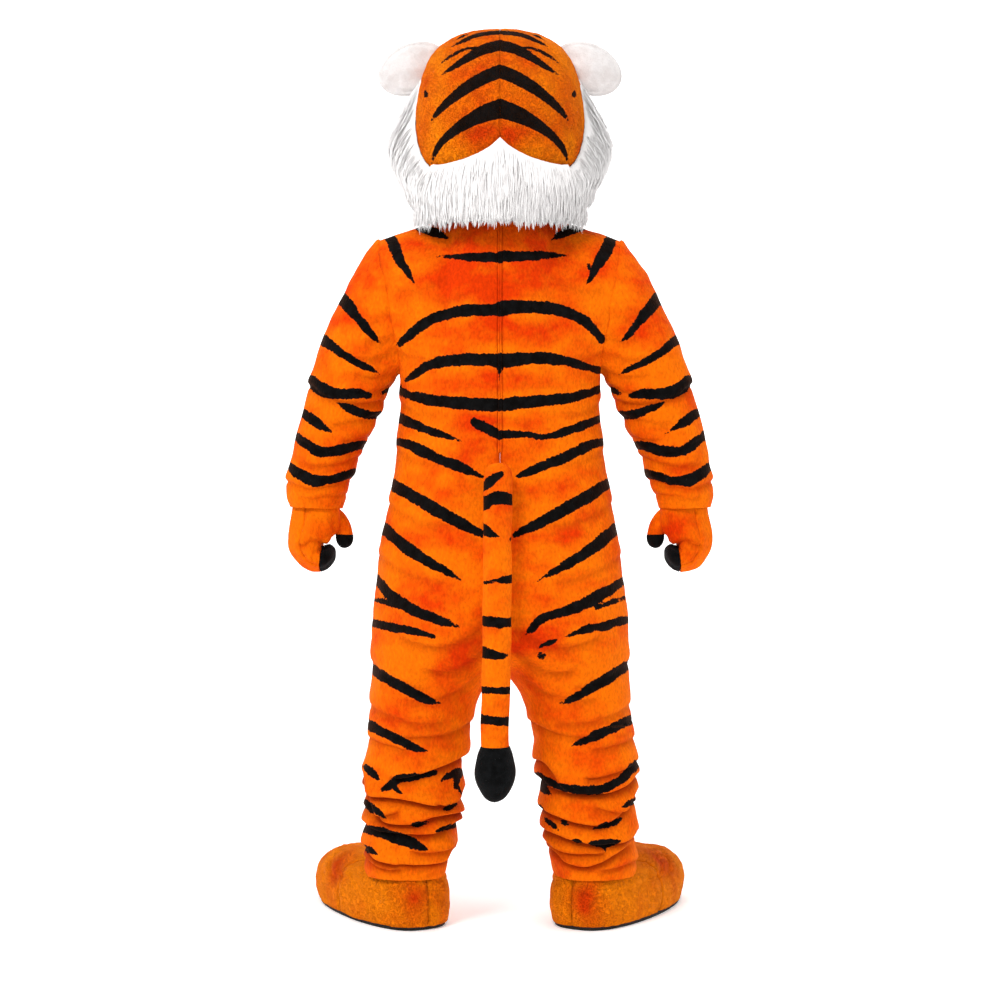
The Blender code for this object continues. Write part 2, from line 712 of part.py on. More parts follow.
def build_head_panels(orange, collection):
    rows = named_rows(HEAD_COLUMNS, HEAD)
    seam = math.radians(FACE_SEAM_ANGLE)
    for side_name, side in SIDES:
        gap = Vector((side * 2.0 * SEAM, 0.0, 0.0))
        angles = steps(0.0, seam, CROWN_FACETS)
        grid = [[Vector(head_point(row, angle, side)) + gap for angle in angles] for row in rows]
        shell(f"head_crown_{side_name}", grid, orange, collection,
              tip=Vector((0.0, 0.0, HEAD_TOP)) + gap, wall=HEAD_WALL)
    gap = Vector((0.0, -FACE_GAP, 0.0))
    angles = steps(seam, 2.0 * math.pi - seam, FACE_FACETS)
    grid = [[Vector(head_point(row, angle, 1.0)) + gap for angle in angles] for row in rows]
    shell("head_face", grid, orange, collection,
          tip=Vector((0.0, 0.0, HEAD_TOP)) + gap, wall=HEAD_WALL)


def head_form(name, collection, mat, grow):
    """The head's outer surface as a closed form, to fit other pieces to it."""
    angles = steps(0.0, 2.0 * math.pi, HEAD_FORM_FACETS)[:-1]
    grid = [[head_point(row, angle, 1.0, grow) for angle in angles]
            for row in named_rows(HEAD_COLUMNS, HEAD)]
    radius = HEAD_TOP_RADIUS
    top = dict(zip(HEAD_COLUMNS, (HEAD_TOP + grow, radius, radius, radius)))
    grid.append([head_point(top, angle, 1.0) for angle in angles])
    return as_cutter(stuffed(name, grid, mat, collection))


def head_row(height):
    return lookup(HEAD_COLUMNS, HEAD, height)


def mane_points(angle, side, edges):
    """Outer and inner points of the fur at one angle round the head."""
    edge = lookup(MANE_EDGE_COLUMNS, edges, math.degrees(angle))
    lift = HEAD_WALL * 0.5 + MANE_LIFT
    outer = []
    inner = []
    for rise in steps(0.0, 1.0, MANE_ROWS):
        height = edge["bottom"] + (edge["top"] - edge["bottom"]) * rise
        reach = lookup(MANE_COLUMNS, MANE_REACH, height)
        if height > HEAD[0][0]:
            near = Vector(head_point(head_row(height), angle, side, lift))
        else:
            inside = lookup(MANE_COLUMNS, MANE_INSIDE, height)
            near = mane_ring_point(inside, angle, side)
        far = mane_ring_point(reach, angle, side)
        taper = 1.0 - MANE_TAPER * max(rise - MANE_TAPER_FROM, 0.0) ** MANE_TAPER_BEND
        away = far - near
        fullness = max(MANE_RIM, away.length * taper)
        inner.append(near)
        outer.append(near + away.normalized() * fullness)
    return outer, inner


def mane_ring_point(row, angle, side):
    depth = row["back"] if math.cos(angle) > 0.0 else row["front"]
    return Vector((row["side"] * math.sin(angle) * side, depth * math.cos(angle), row["height"]))


def build_mane(white, collection):
    nape = math.radians(NAPE_ANGLE)
    chin = math.radians(CHIN_ANGLE)
    spacing = math.radians(MANE_STEP)
    nape_count = 2 * round(nape / spacing)
    side_count = round((chin - nape) / spacing)
    tuft = math.radians(CHEST_TUFT_EDGE[0][0])
    tuft_count = 2 * round((math.pi - tuft) / spacing)
    pieces = [("mane_nape", steps(-nape + MANE_SEAM, nape - MANE_SEAM, nape_count), 1.0, MANE_EDGE),
              ("mane_chest", steps(tuft, 2.0 * math.pi - tuft, tuft_count), 1.0, CHEST_TUFT_EDGE)]
    for side_name, side in SIDES:
        angles = steps(nape + MANE_SEAM, chin, side_count)
        pieces.append((f"mane_{side_name}", angles, side, MANE_EDGE))
    for name, angles, side, edges in pieces:
        columns = []
        for angle in angles:
            turned = min(abs(angle), 2.0 * math.pi - abs(angle))
            crossing = 1.0 if 0.0 <= angle <= math.pi else -1.0
            columns.append(mane_points(turned, side * crossing, edges))
        outer = [[column[0][row] for column in columns] for row in range(MANE_ROWS + 1)]
        inner = [[column[1][row] for column in columns] for row in range(MANE_ROWS + 1)]
        thick_panel(name, outer, inner, white, collection)


def build_head(orange, black, white, rose, collection, cutters):
    build_head_panels(orange, collection)
    build_mane(white, collection)
    form = head_form("head_form", cutters, orange, HEAD_WALL * 0.5 + FIT)
    for side_name, side in SIDES:
        ear = ball(f"ear_{side_name}", EAR, side, EAR["turn"], 0.0, white, collection)
        cut(ear, form)
        eye = ball(f"eye_{side_name}", EYE, side, 0.0, EYE_TURN, black, collection)
        cut(eye, form)
    muzzle = ball("muzzle", MUZZLE, 1.0, 0.0, 0.0, white, collection)
    cut(muzzle, form)
    fitted = dict(MUZZLE, radii=tuple(radius + LAID_ON for radius in MUZZLE["radii"]))
    muzzle_form = as_cutter(ball("muzzle_form", fitted, 1.0, 0.0, 0.0, white, cutters))
    chin = ball("chin", CHIN, 1.0, 0.0, 0.0, white, collection)
    nose = ball("nose", NOSE, 1.0, 0.0, 0.0, rose, collection)
    cut(chin, form)
    cut(chin, muzzle_form)
    cut(nose, muzzle_form)


def main():
    clear_scene()
    costume = make_collection("tiger_mascot_costume")
    cutters = make_collection("cutters")
    orange = material("orange_plush", ORANGE, 0.85)
    black = material("black_plush", BLACK, 0.80)
    white = material("white_fur", WHITE, 0.90)
    rose = material("rose_velour", ROSE, 0.70)
    build_suit(orange, costume)
    build_tail(orange, black, costume)
    for side_name, side in SIDES:
        build_glove(side_name, side, orange, black, costume, cutters)
        build_boot(side_name, side, orange, black, costume)
    build_head(orange, black, white, rose, costume, cutters)


main()
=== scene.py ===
"""Looks of the plush tiger costume: cloth, folds, stripes, fur, seams and finishes.

Sizes are metres.  Pattern tables give heights above the soles; the frame's origin lies
SHOULDER_HEIGHT above them.  +X is the wearer's left, -Y the front, +Z up.
"""
import math

import bpy
import numpy as np
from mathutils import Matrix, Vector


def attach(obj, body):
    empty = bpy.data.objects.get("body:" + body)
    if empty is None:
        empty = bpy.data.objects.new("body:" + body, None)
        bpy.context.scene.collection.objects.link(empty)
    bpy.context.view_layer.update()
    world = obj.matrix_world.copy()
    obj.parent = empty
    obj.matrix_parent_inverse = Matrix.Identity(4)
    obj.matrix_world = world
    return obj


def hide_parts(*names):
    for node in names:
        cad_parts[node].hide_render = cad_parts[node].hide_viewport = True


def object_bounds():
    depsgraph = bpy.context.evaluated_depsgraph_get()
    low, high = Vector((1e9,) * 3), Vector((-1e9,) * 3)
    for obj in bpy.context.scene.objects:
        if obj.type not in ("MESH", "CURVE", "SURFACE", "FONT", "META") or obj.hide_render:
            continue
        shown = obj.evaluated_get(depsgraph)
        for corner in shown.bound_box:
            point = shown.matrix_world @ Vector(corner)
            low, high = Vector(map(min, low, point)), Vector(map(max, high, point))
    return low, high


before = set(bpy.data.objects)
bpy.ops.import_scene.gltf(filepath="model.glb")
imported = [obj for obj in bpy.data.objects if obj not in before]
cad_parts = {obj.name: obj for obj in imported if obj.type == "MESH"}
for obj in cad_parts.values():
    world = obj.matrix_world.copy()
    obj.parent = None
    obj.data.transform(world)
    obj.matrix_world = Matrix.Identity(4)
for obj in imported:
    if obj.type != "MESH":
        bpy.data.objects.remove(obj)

CAD_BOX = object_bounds()

# ---------------------------------------------------------------- sizes of the pattern
SHOULDER_HEIGHT = 1.480
CLOTH = 0.002                # short pile on knitted backing
BOOT_WALL = 0.003            # pile on thin foam
HEAD_WALL = 0.004            # pile on foam
SEAM = 0.0003                # half the gap between pieces sewn together
CHEST_HEIGHT = 1.170
SHOULDER_TIP = (0.262, 1.447)
ARMPIT = (0.211, CHEST_HEIGHT)
ARMHOLE_DEPTH = 0.088
NECK_HALF_WIDTH = 0.090
NECK_DEPTH = {"back": 0.080, "front": 0.085}
NECK_MIDDLE = {"back": 1.505, "front": 1.462}
NECK_SIDE = 1.505
NECK_SHARE = 0.36            # share of the yoke's top edge that is neckline
YOKE_SQUARENESS = 2.2
BODY_SQUARENESS = 2.25

# suit body: height, centre, half width, depth at the back, depth at the front
BODY = (
    (1.170, 0.0000, 0.2110, 0.145, 0.150),
    (1.080, 0.0000, 0.2110, 0.141, 0.156),
    (1.000, 0.0000, 0.2190, 0.144, 0.161),
    (0.930, 0.0000, 0.2300, 0.154, 0.164),
    (0.860, 0.0000, 0.2430, 0.166, 0.166),
    (0.790, 0.0000, 0.2540, 0.176, 0.166),
    (0.720, 0.0150, 0.2480, 0.180, 0.164),
    (0.660, 0.0350, 0.2340, 0.178, 0.160),
    (0.620, 0.0600, 0.2120, 0.172, 0.156),
    (0.585, 0.1000, 0.1720, 0.158, 0.148),
    (0.560, 0.1240, 0.1480, 0.147, 0.141),
    (0.538, 0.1370, 0.1345, 0.138, 0.136),
    (0.500, 0.1530, 0.1190, 0.131, 0.131),
    (0.430, 0.1690, 0.1060, 0.124, 0.126),
    (0.385, 0.1770, 0.1010, 0.118, 0.120),
    (0.325, 0.1840, 0.0970, 0.112, 0.114),
    (0.268, 0.1895, 0.0955, 0.109, 0.110),
    (0.220, 0.1875, 0.0945, 0.106, 0.107),
    (0.170, 0.1920, 0.0915, 0.102, 0.104),
    (0.105, 0.2015, 0.0870, 0.094, 0.098),
)
HEM_RISE_FROM = 0.260
HEM_RISE = 0.055
HEM_RISE_SPREAD = 1.6
BOOT_TOE_OUT = 30.0

# sleeve: outer x and height, inner x and height, half depth
SLEEVE = (
    (0.2540, 1.4440, 0.2060, 1.1720, 0.085),
    (0.2640, 1.4455, 0.2132, 1.1700, 0.088),
    (0.3060, 1.388, 0.2205, 1.168, 0.087),
    (0.3400, 1.322, 0.2290, 1.160, 0.087),
    (0.3690, 1.260, 0.2370, 1.140, 0.086),
    (0.3920, 1.196, 0.2460, 1.112, 0.083),
    (0.4070, 1.135, 0.2600, 1.080, 0.079),
    (0.4240, 1.075, 0.2800, 1.040, 0.074),
    (0.4350, 1.025, 0.3000, 0.990, 0.070),
    (0.4440, 0.982, 0.3140, 0.952, 0.068),
    (0.4510, 0.942, 0.3260, 0.922, 0.066),
    (0.4540, 0.908, 0.3300, 0.900, 0.065),
    (0.4470, 0.884, 0.3360, 0.880, 0.059),
)

# tail: height, x, y, radius
TAIL = (
    (0.9800, 0.0040, 0.1900, 0.0040),
    (0.9780, 0.0040, 0.1900, 0.0130),
    (0.9710, 0.0040, 0.1900, 0.0220),
    (0.9570, 0.0040, 0.1905, 0.0275),
    (0.9250, 0.0040, 0.1945, 0.0290),
    (0.8500, 0.0040, 0.2080, 0.0290),
    (0.7700, 0.0045, 0.2160, 0.0290),
    (0.6800, 0.0060, 0.2200, 0.0290),
    (0.5600, 0.0080, 0.2190, 0.0290),
    (0.4700, 0.0095, 0.2170, 0.0288),
    (0.4050, 0.0100, 0.2160, 0.0285),
)
TAIL_TIP = (
    (0.4045, 0.0100, 0.2160, 0.0300),
    (0.3850, 0.0100, 0.2160, 0.0370),
    (0.3550, 0.0102, 0.2160, 0.0420),
    (0.3280, 0.0104, 0.2160, 0.0375),
    (0.3050, 0.0106, 0.2160, 0.0240),
    (0.2960, 0.0108, 0.2160, 0.0130),
    (0.2920, 0.0108, 0.2160, 0.0020),
)

# glove: knuckle side x and height, palm side x and height, half depth
GLOVE = (
    (0.4360, 0.9450, 0.3420, 0.9330, 0.048),
    (0.4400, 0.8950, 0.3425, 0.8880, 0.050),
    (0.4450, 0.8600, 0.3400, 0.8540, 0.056),
    (0.4530, 0.8200, 0.3460, 0.8300, 0.060),
    (0.4470, 0.7870, 0.3590, 0.8160, 0.061),
    (0.4270, 0.7610, 0.3700, 0.8080, 0.060),
    (0.4030, 0.7470, 0.3780, 0.8040, 0.058),
    (0.3830, 0.7445, 0.3790, 0.8010, 0.056),
)
GLOVE_TIP = (
    (0.3812, 0.7447, 0.3762, 0.8008, 0.056),
    (0.3650, 0.7520, 0.3715, 0.8020, 0.052),
    (0.3530, 0.7690, 0.3640, 0.8030, 0.040),
    (0.3510, 0.7850, 0.3570, 0.7990, 0.020),
    (0.3518, 0.7920, 0.3524, 0.7936, 0.003),
)
GLOVE_SEAM_TURN = 67.5       # degrees from the knuckle side round to the panel seam
FINGER_GROOVE = 0.16         # share of the thickness lost between the fingers
THUMB_SHIFT = -0.012
# thumb: x, height, tilt, radius
THUMB = (
    (0.3620, 0.8720, 44.0, 0.0150),
    (0.3500, 0.8600, 34.0, 0.0178),
    (0.3395, 0.8430, 16.0, 0.0188),
    (0.3330, 0.8240, -3.0, 0.0180),
)
THUMB_TIP = (
    (0.3325, 0.8236, -4.0, 0.0184),
    (0.3325, 0.8130, -6.0, 0.0178),
    (0.3335, 0.8030, -10.0, 0.0140),
    (0.3350, 0.7965, -10.0, 0.0060),
    (0.3352, 0.7955, -10.0, 0.0010),
)

# boot: height, heel, waist, toe (all from the heel's centre), half width
BOOT_HEEL = (0.1985, 0.0)
BOOT_SQUARENESS = 0.70
BOOT = (
    (0.0082, 0.094, 0.120, 0.336, 0.0985),
    (0.0400, 0.099, 0.120, 0.346, 0.1030),
    (0.0750, 0.096, 0.118, 0.337, 0.1000),
    (0.1000, 0.089, 0.105, 0.309, 0.0910),
    (0.1180, 0.081, 0.085, 0.262, 0.0750),
    (0.1290, 0.075, 0.052, 0.180, 0.0650),
    (0.1370, 0.072, 0.025, 0.116, 0.0640),
    (0.1500, 0.070, 0.000, 0.076, 0.0650),
    (0.2000, 0.068, 0.000, 0.070, 0.0640),
)

# head: height, half width, depth at the back, depth at the front
HEAD = (
    (1.535, 0.128, 0.118, 0.120),
    (1.570, 0.152, 0.148, 0.150),
    (1.620, 0.172, 0.168, 0.172),
    (1.670, 0.180, 0.176, 0.182),
    (1.720, 0.179, 0.174, 0.180),
    (1.765, 0.172, 0.165, 0.168),
    (1.800, 0.163, 0.152, 0.154),
    (1.835, 0.148, 0.133, 0.135),
    (1.862, 0.126, 0.108, 0.110),
    (1.882, 0.092, 0.075, 0.077),
    (1.893, 0.050, 0.040, 0.041),
    (1.897, 0.002, 0.002, 0.002),
)
FACE_SEAM_ANGLE = 105.0
FACE_GAP = 0.0011

# mane: height, reach to the side, to the back and to the front; then its hollow
MANE_REACH = (
    (1.440, 0.176, 0.156, 0.150),
    (1.460, 0.178, 0.160, 0.154),
    (1.500, 0.187, 0.184, 0.164),
    (1.540, 0.196, 0.198, 0.176),
    (1.575, 0.214, 0.205, 0.186),
    (1.610, 0.230, 0.208, 0.192),
    (1.650, 0.237, 0.208, 0.196),
    (1.690, 0.230, 0.206, 0.196),
    (1.720, 0.219, 0.202, 0.194),
    (1.765, 0.200, 0.194, 0.188),
    (1.795, 0.184, 0.186, 0.180),
)
MANE_INSIDE = (
    (1.440, 0.162, 0.138, 0.130),
    (1.500, 0.158, 0.138, 0.130),
    (1.535, 0.150, 0.138, 0.134),
)
# angle round from the centre back, lower edge, upper edge
SIDE_FUR_EDGE = (
    (54.0, 1.502, 1.578),
    (60.0, 1.508, 1.598),
    (67.0, 1.518, 1.618),
    (72.0, 1.528, 1.650),
    (77.0, 1.534, 1.700),
    (81.0, 1.538, 1.768),
    (86.0, 1.540, 1.792),
    (100.0, 1.536, 1.786),
    (112.0, 1.524, 1.730),
    (125.0, 1.512, 1.662),
    (152.0, 1.488, 1.596),
)
NAPE_FUR_EDGE = (
    (0.0, 1.478, 1.646),
    (5.0, 1.478, 1.631),
    (10.0, 1.478, 1.621),
    (20.0, 1.478, 1.608),
    (32.0, 1.479, 1.600),
    (45.0, 1.480, 1.597),
    (53.0, 1.481, 1.598),
    (62.0, 1.483, 1.572),
    (70.0, 1.486, 1.545),
    (76.0, 1.490, 1.518),
)
CHEST_FUR_EDGE = (
    (150.0, 1.474, 1.522),
    (165.0, 1.458, 1.522),
    (180.0, 1.448, 1.522),
    (195.0, 1.458, 1.522),
    (210.0, 1.474, 1.522),
)
MANE_LIFT = -0.001           # the fur's backing is let this far into the plush
MANE_FULLNESS = 0.93         # share of the mane's reach that its soft body fills
FUR_BEND = 0.35              # how strongly the fur's shading is turned back or forward
FUR_PARTING = 0.17           # minus the cosine of the angle where it changes over

# stuffed pieces of the head: centre and radii
EAR = {"centre": (0.187, -0.010, 1.819), "radii": (0.077, 0.021, 0.054), "turn": 25.0}
MUZZLE = {"centre": (0.0, -0.185, 1.628), "radii": (0.098, 0.085, 0.058)}
CHIN = {"centre": (0.0, -0.158, 1.560), "radii": (0.056, 0.050, 0.030)}
NOSE = {"centre": (0.0, -0.262, 1.662), "radii": (0.034, 0.024, 0.022)}
EYE = {"centre": (0.066, -0.158, 1.722), "radii": (0.030, 0.020, 0.036)}

SIDES = (("left", 1.0), ("right", -1.0))
FACINGS = (("back", 1.0), ("front", -1.0))

# ---------------------------------------------------------------- stripes and folds
# Both are laid out flat on the middle plane, and carried to the cloth along straight
# lines that spread from a point LAYOUT_DISTANCE behind (or before) it at LAYOUT_HEIGHT.
# The point behind is also where the camera stands.
LAYOUT_DISTANCE = 4.5
LAYOUT_HEIGHT = 1.05

# a stripe is a row of (x, height, thickness in mm)
STRIPES_BOTH_SIDES = (
    ((0.215, 1.021, 17), (0.188, 1.013, 23), (0.136, 0.987, 23), (0.081, 0.966, 21), (0.034, 0.945, 6)),
    ((0.230, 0.932, 23), (0.188, 0.906, 26), (0.128, 0.872, 26), (0.072, 0.842, 23), (0.028, 0.821, 9)),
    ((0.245, 0.836, 26), (0.209, 0.804, 26), (0.166, 0.774, 23), (0.117, 0.746, 15), (0.072, 0.721, 0)),
)
STRIPES_LEFT = (
    ((0.205, 1.478, 0), (0.183, 1.482, 13), (0.154, 1.473, 19), (0.128, 1.463, 17), (0.104, 1.452, 0)),
    ((0.241, 1.465, 19), (0.226, 1.439, 26), (0.211, 1.405, 21), (0.194, 1.379, 15), (0.179, 1.354, 0)),
    ((0.143, 1.416, 0), (0.100, 1.416, 11), (0.055, 1.415, 19), (0.002, 1.413, 24)),
    ((0.211, 1.232, 17), (0.183, 1.258, 21), (0.149, 1.281, 21), (0.111, 1.294, 23), (0.064, 1.303, 26),
     (0.002, 1.303, 26)),
    ((0.209, 1.147, 0), (0.188, 1.160, 13), (0.154, 1.183, 21), (0.107, 1.196, 26), (0.053, 1.198, 26),
     (0.002, 1.196, 30)),
    ((0.000, 1.207, 9), (0.001, 1.175, 6), (0.001, 1.151, 0)),
    ((0.217, 1.134, 19), (0.192, 1.121, 19), (0.149, 1.111, 23), (0.085, 1.104, 26), (0.002, 1.100, 28)),
    ((0.217, 1.075, 23), (0.196, 1.064, 21), (0.162, 1.051, 19), (0.128, 1.038, 15), (0.081, 1.023, 0)),
    ((0.055, 1.064, 17), (0.032, 1.051, 23), (0.002, 1.036, 21)),
    ((0.264, 0.729, 21), (0.230, 0.693, 23), (0.192, 0.667, 26), (0.149, 0.648, 21), (0.111, 0.635, 15),
     (0.079, 0.625, 0)),
    ((0.269, 0.687, 9), (0.239, 0.678, 13), (0.209, 0.667, 9)),
    ((0.269, 0.635, 17), (0.235, 0.627, 19), (0.192, 0.620, 17), (0.149, 0.608, 11), (0.124, 0.599, 0)),
    ((0.275, 0.539, 21), (0.235, 0.514, 23), (0.192, 0.490, 23), (0.154, 0.471, 17), (0.124, 0.463, 0)),
    ((0.286, 0.424, 21), (0.256, 0.405, 21), (0.215, 0.386, 21), (0.181, 0.369, 15), (0.149, 0.360, 0)),
    ((0.286, 0.328, 15), (0.273, 0.316, 17), (0.254, 0.298, 0)),
    ((0.141, 0.316, 13), (0.171, 0.307, 13), (0.209, 0.305, 19), (0.230, 0.292, 17), (0.249, 0.281, 11)),
    ((0.230, 0.292, 11), (0.217, 0.277, 11), (0.205, 0.269, 0)),
    ((0.132, 0.292, 0), (0.113, 0.307, 13), (0.087, 0.318, 17), (0.092, 0.298, 13), (0.100, 0.279, 0)),
    ((0.096, 0.294, 6), (0.083, 0.271, 6)),
    ((0.292, 0.254, 15), (0.273, 0.241, 17), (0.256, 0.230, 13), (0.241, 0.217, 0)),
    ((0.126, 0.234, 0), (0.111, 0.241, 11), (0.094, 0.249, 9)),
    ((0.200, 0.200, 0), (0.179, 0.205, 11), (0.154, 0.209, 6)),
    ((0.141, 0.190, 0), (0.119, 0.196, 11), (0.094, 0.205, 9)),
    ((0.286, 0.196, 17), (0.256, 0.190, 23), (0.220, 0.177, 26), (0.188, 0.166, 23), (0.158, 0.153, 9)),
    ((0.288, 0.158, 11), (0.273, 0.149, 13), (0.258, 0.139, 0)),
)
STRIPES_RIGHT = (
    ((-0.207, 1.475, 0), (-0.183, 1.482, 15), (-0.154, 1.475, 21), (-0.128, 1.463, 17), (-0.107, 1.450, 0)),
    ((-0.239, 1.458, 23), (-0.226, 1.431, 28), (-0.209, 1.401, 23), (-0.194, 1.373, 13), (-0.183, 1.354, 0)),
    ((-0.258, 1.439, 6), (-0.267, 1.420, 17), (-0.271, 1.401, 6)),
    ((-0.279, 1.394, 6), (-0.277, 1.384, 13), (-0.273, 1.369, 4)),
    ((-0.188, 1.399, 6), (-0.190, 1.392, 6)),
    ((-0.154, 1.417, 0), (-0.107, 1.419, 15), (-0.055, 1.418, 21), (-0.002, 1.417, 24)),
    ((-0.215, 1.239, 17), (-0.192, 1.269, 21), (-0.160, 1.290, 23), (-0.111, 1.305, 26), (-0.060, 1.309, 28),
     (-0.002, 1.307, 32)),
    ((-0.213, 1.173, 15), (-0.179, 1.183, 17), (-0.141, 1.194, 23), (-0.085, 1.200, 26), (-0.043, 1.198, 28),
     (-0.002, 1.194, 32)),
    ((-0.211, 1.134, 15), (-0.181, 1.124, 19), (-0.128, 1.113, 23), (-0.064, 1.107, 26),
     (-0.002, 1.100, 30)),
    ((-0.002, 1.038, 21), (-0.032, 1.038, 17), (-0.064, 1.036, 11), (-0.096, 1.034, 4)),
    ((-0.075, 1.028, 6), (-0.107, 1.034, 15), (-0.149, 1.047, 21), (-0.181, 1.058, 19), (-0.213, 1.072, 15)),
    ((-0.264, 0.727, 17), (-0.230, 0.704, 23), (-0.188, 0.680, 26), (-0.141, 0.661, 21), (-0.096, 0.648, 19),
     (-0.064, 0.618, 15), (-0.051, 0.603, 0)),
    ((-0.267, 0.689, 6), (-0.239, 0.680, 13), (-0.205, 0.669, 9)),
    ((-0.267, 0.642, 17), (-0.230, 0.631, 19), (-0.192, 0.623, 19), (-0.158, 0.614, 11), (-0.132, 0.603, 0)),
    ((-0.122, 0.599, 4), (-0.102, 0.593, 11), (-0.085, 0.586, 4)),
    ((-0.079, 0.574, 6), (-0.087, 0.565, 15), (-0.096, 0.567, 4)),
    ((-0.275, 0.548, 19), (-0.239, 0.524, 23), (-0.196, 0.499, 23), (-0.158, 0.475, 17), (-0.119, 0.461, 0)),
    ((-0.281, 0.431, 19), (-0.245, 0.414, 21), (-0.209, 0.397, 21), (-0.179, 0.384, 15), (-0.147, 0.371, 0)),
    ((-0.079, 0.313, 9), (-0.102, 0.298, 17), (-0.132, 0.286, 15), (-0.171, 0.279, 19), (-0.207, 0.279, 21),
     (-0.239, 0.290, 17), (-0.264, 0.307, 19), (-0.290, 0.335, 19)),
    ((-0.085, 0.296, 17), (-0.098, 0.279, 17), (-0.117, 0.264, 0)),
    ((-0.079, 0.245, 11), (-0.087, 0.239, 13), (-0.098, 0.234, 0)),
    ((-0.098, 0.217, 9), (-0.111, 0.207, 13), (-0.128, 0.190, 0)),
    ((-0.128, 0.213, 0), (-0.139, 0.209, 11), (-0.149, 0.205, 0)),
    ((-0.258, 0.241, 0), (-0.273, 0.249, 11), (-0.294, 0.260, 13)),
    ((-0.192, 0.194, 0), (-0.222, 0.203, 13), (-0.243, 0.209, 13), (-0.262, 0.222, 0)),
    ((-0.151, 0.173, 0), (-0.164, 0.171, 11), (-0.179, 0.166, 0)),
    ((-0.192, 0.166, 9), (-0.217, 0.166, 17), (-0.239, 0.166, 15), (-0.258, 0.171, 0)),
    ((-0.222, 0.162, 13), (-0.222, 0.147, 6)),
)
SLEEVE_STRIPES = (
    ((0.339, 1.330, 28), (0.320, 1.307, 26), (0.294, 1.275, 19), (0.273, 1.249, 15), (0.252, 1.230, 0)),
    ((0.377, 1.239, 23), (0.345, 1.215, 19), (0.309, 1.192, 17), (0.277, 1.177, 13), (0.252, 1.164, 0)),
    ((0.401, 1.153, 23), (0.384, 1.136, 28), (0.358, 1.126, 26), (0.328, 1.124, 23), (0.303, 1.124, 21),
     (0.279, 1.121, 11)),
    ((0.354, 1.107, 0), (0.333, 1.098, 13), (0.303, 1.085, 19), (0.277, 1.079, 19), (0.256, 1.079, 17)),
    ((0.256, 1.124, 6), (0.245, 1.130, 11), (0.232, 1.136, 9)),
    ((0.420, 1.083, 19), (0.401, 1.070, 23), (0.380, 1.055, 17), (0.350, 1.038, 0)),
    ((0.435, 1.034, 19), (0.409, 1.015, 23), (0.380, 1.000, 23), (0.341, 1.004, 23), (0.311, 1.013, 19),
     (0.286, 1.015, 17)),
    ((0.450, 0.972, 17), (0.431, 0.955, 23), (0.401, 0.940, 26), (0.367, 0.940, 19), (0.337, 0.949, 19),
     (0.313, 0.955, 19)),
)
CROWN_STRIPES = (
    ((0.000, 1.893, 9), (0.043, 1.888, 9), (0.075, 1.876, 8), (0.107, 1.860, 0)),
    ((0.064, 1.890, 0), (0.081, 1.884, 5), (0.094, 1.876, 0)),
    ((0.000, 1.866, 24), (0.034, 1.857, 22), (0.068, 1.839, 17), (0.102, 1.817, 10), (0.127, 1.801, 0)),
    ((0.047, 1.861, 5), (0.072, 1.858, 6), (0.102, 1.844, 7), (0.134, 1.821, 0)),
    ((0.000, 1.811, 29), (0.034, 1.797, 28), (0.072, 1.775, 25), (0.107, 1.748, 19), (0.132, 1.723, 12),
     (0.149, 1.699, 0)),
    ((0.000, 1.732, 42), (0.038, 1.719, 35), (0.081, 1.696, 25), (0.115, 1.669, 17), (0.134, 1.644, 12),
     (0.147, 1.608, 0)),
    ((0.158, 1.770, 4), (0.156, 1.761, 11), (0.160, 1.755, 0)),
)
TAIL_STRIPES = (
    ((0.034, 0.927, 21), (0.017, 0.940, 19), (-0.002, 0.953, 13)),
    ((0.036, 0.887, 26), (0.021, 0.898, 26), (0.000, 0.902, 26), (-0.026, 0.898, 26)),
    ((0.036, 0.838, 21), (0.021, 0.827, 19), (0.000, 0.819, 0)),
    ((-0.017, 0.810, 0), (-0.028, 0.817, 11)),
    ((0.036, 0.721, 6), (0.011, 0.725, 11), (-0.026, 0.729, 17)),
    ((0.036, 0.640, 23), (0.004, 0.635, 23), (-0.028, 0.637, 21)),
    ((0.038, 0.574, 26), (0.011, 0.567, 19), (-0.026, 0.563, 6)),
    ((0.038, 0.492, 13), (0.004, 0.490, 17), (-0.028, 0.492, 15)),
    ((0.043, 0.431, 19), (0.011, 0.426, 19), (-0.023, 0.426, 21)),
)
# stripes of the hidden face: brow and cheek marks, mirrored
FACE_STRIPES = (
    ((0.000, 1.878, 15), (0.030, 1.866, 13), (0.058, 1.842, 0)),
    ((0.000, 1.840, 17), (0.034, 1.832, 15), (0.070, 1.806, 0)),
    ((0.000, 1.800, 15), (0.026, 1.793, 11), (0.050, 1.776, 0)),
    ((0.172, 1.775, 17), (0.140, 1.772, 13), (0.112, 1.762, 0)),
    ((0.182, 1.730, 17), (0.152, 1.722, 15), (0.122, 1.704, 0)),
    ((0.184, 1.680, 17), (0.156, 1.670, 13), (0.130, 1.652, 0)),
)

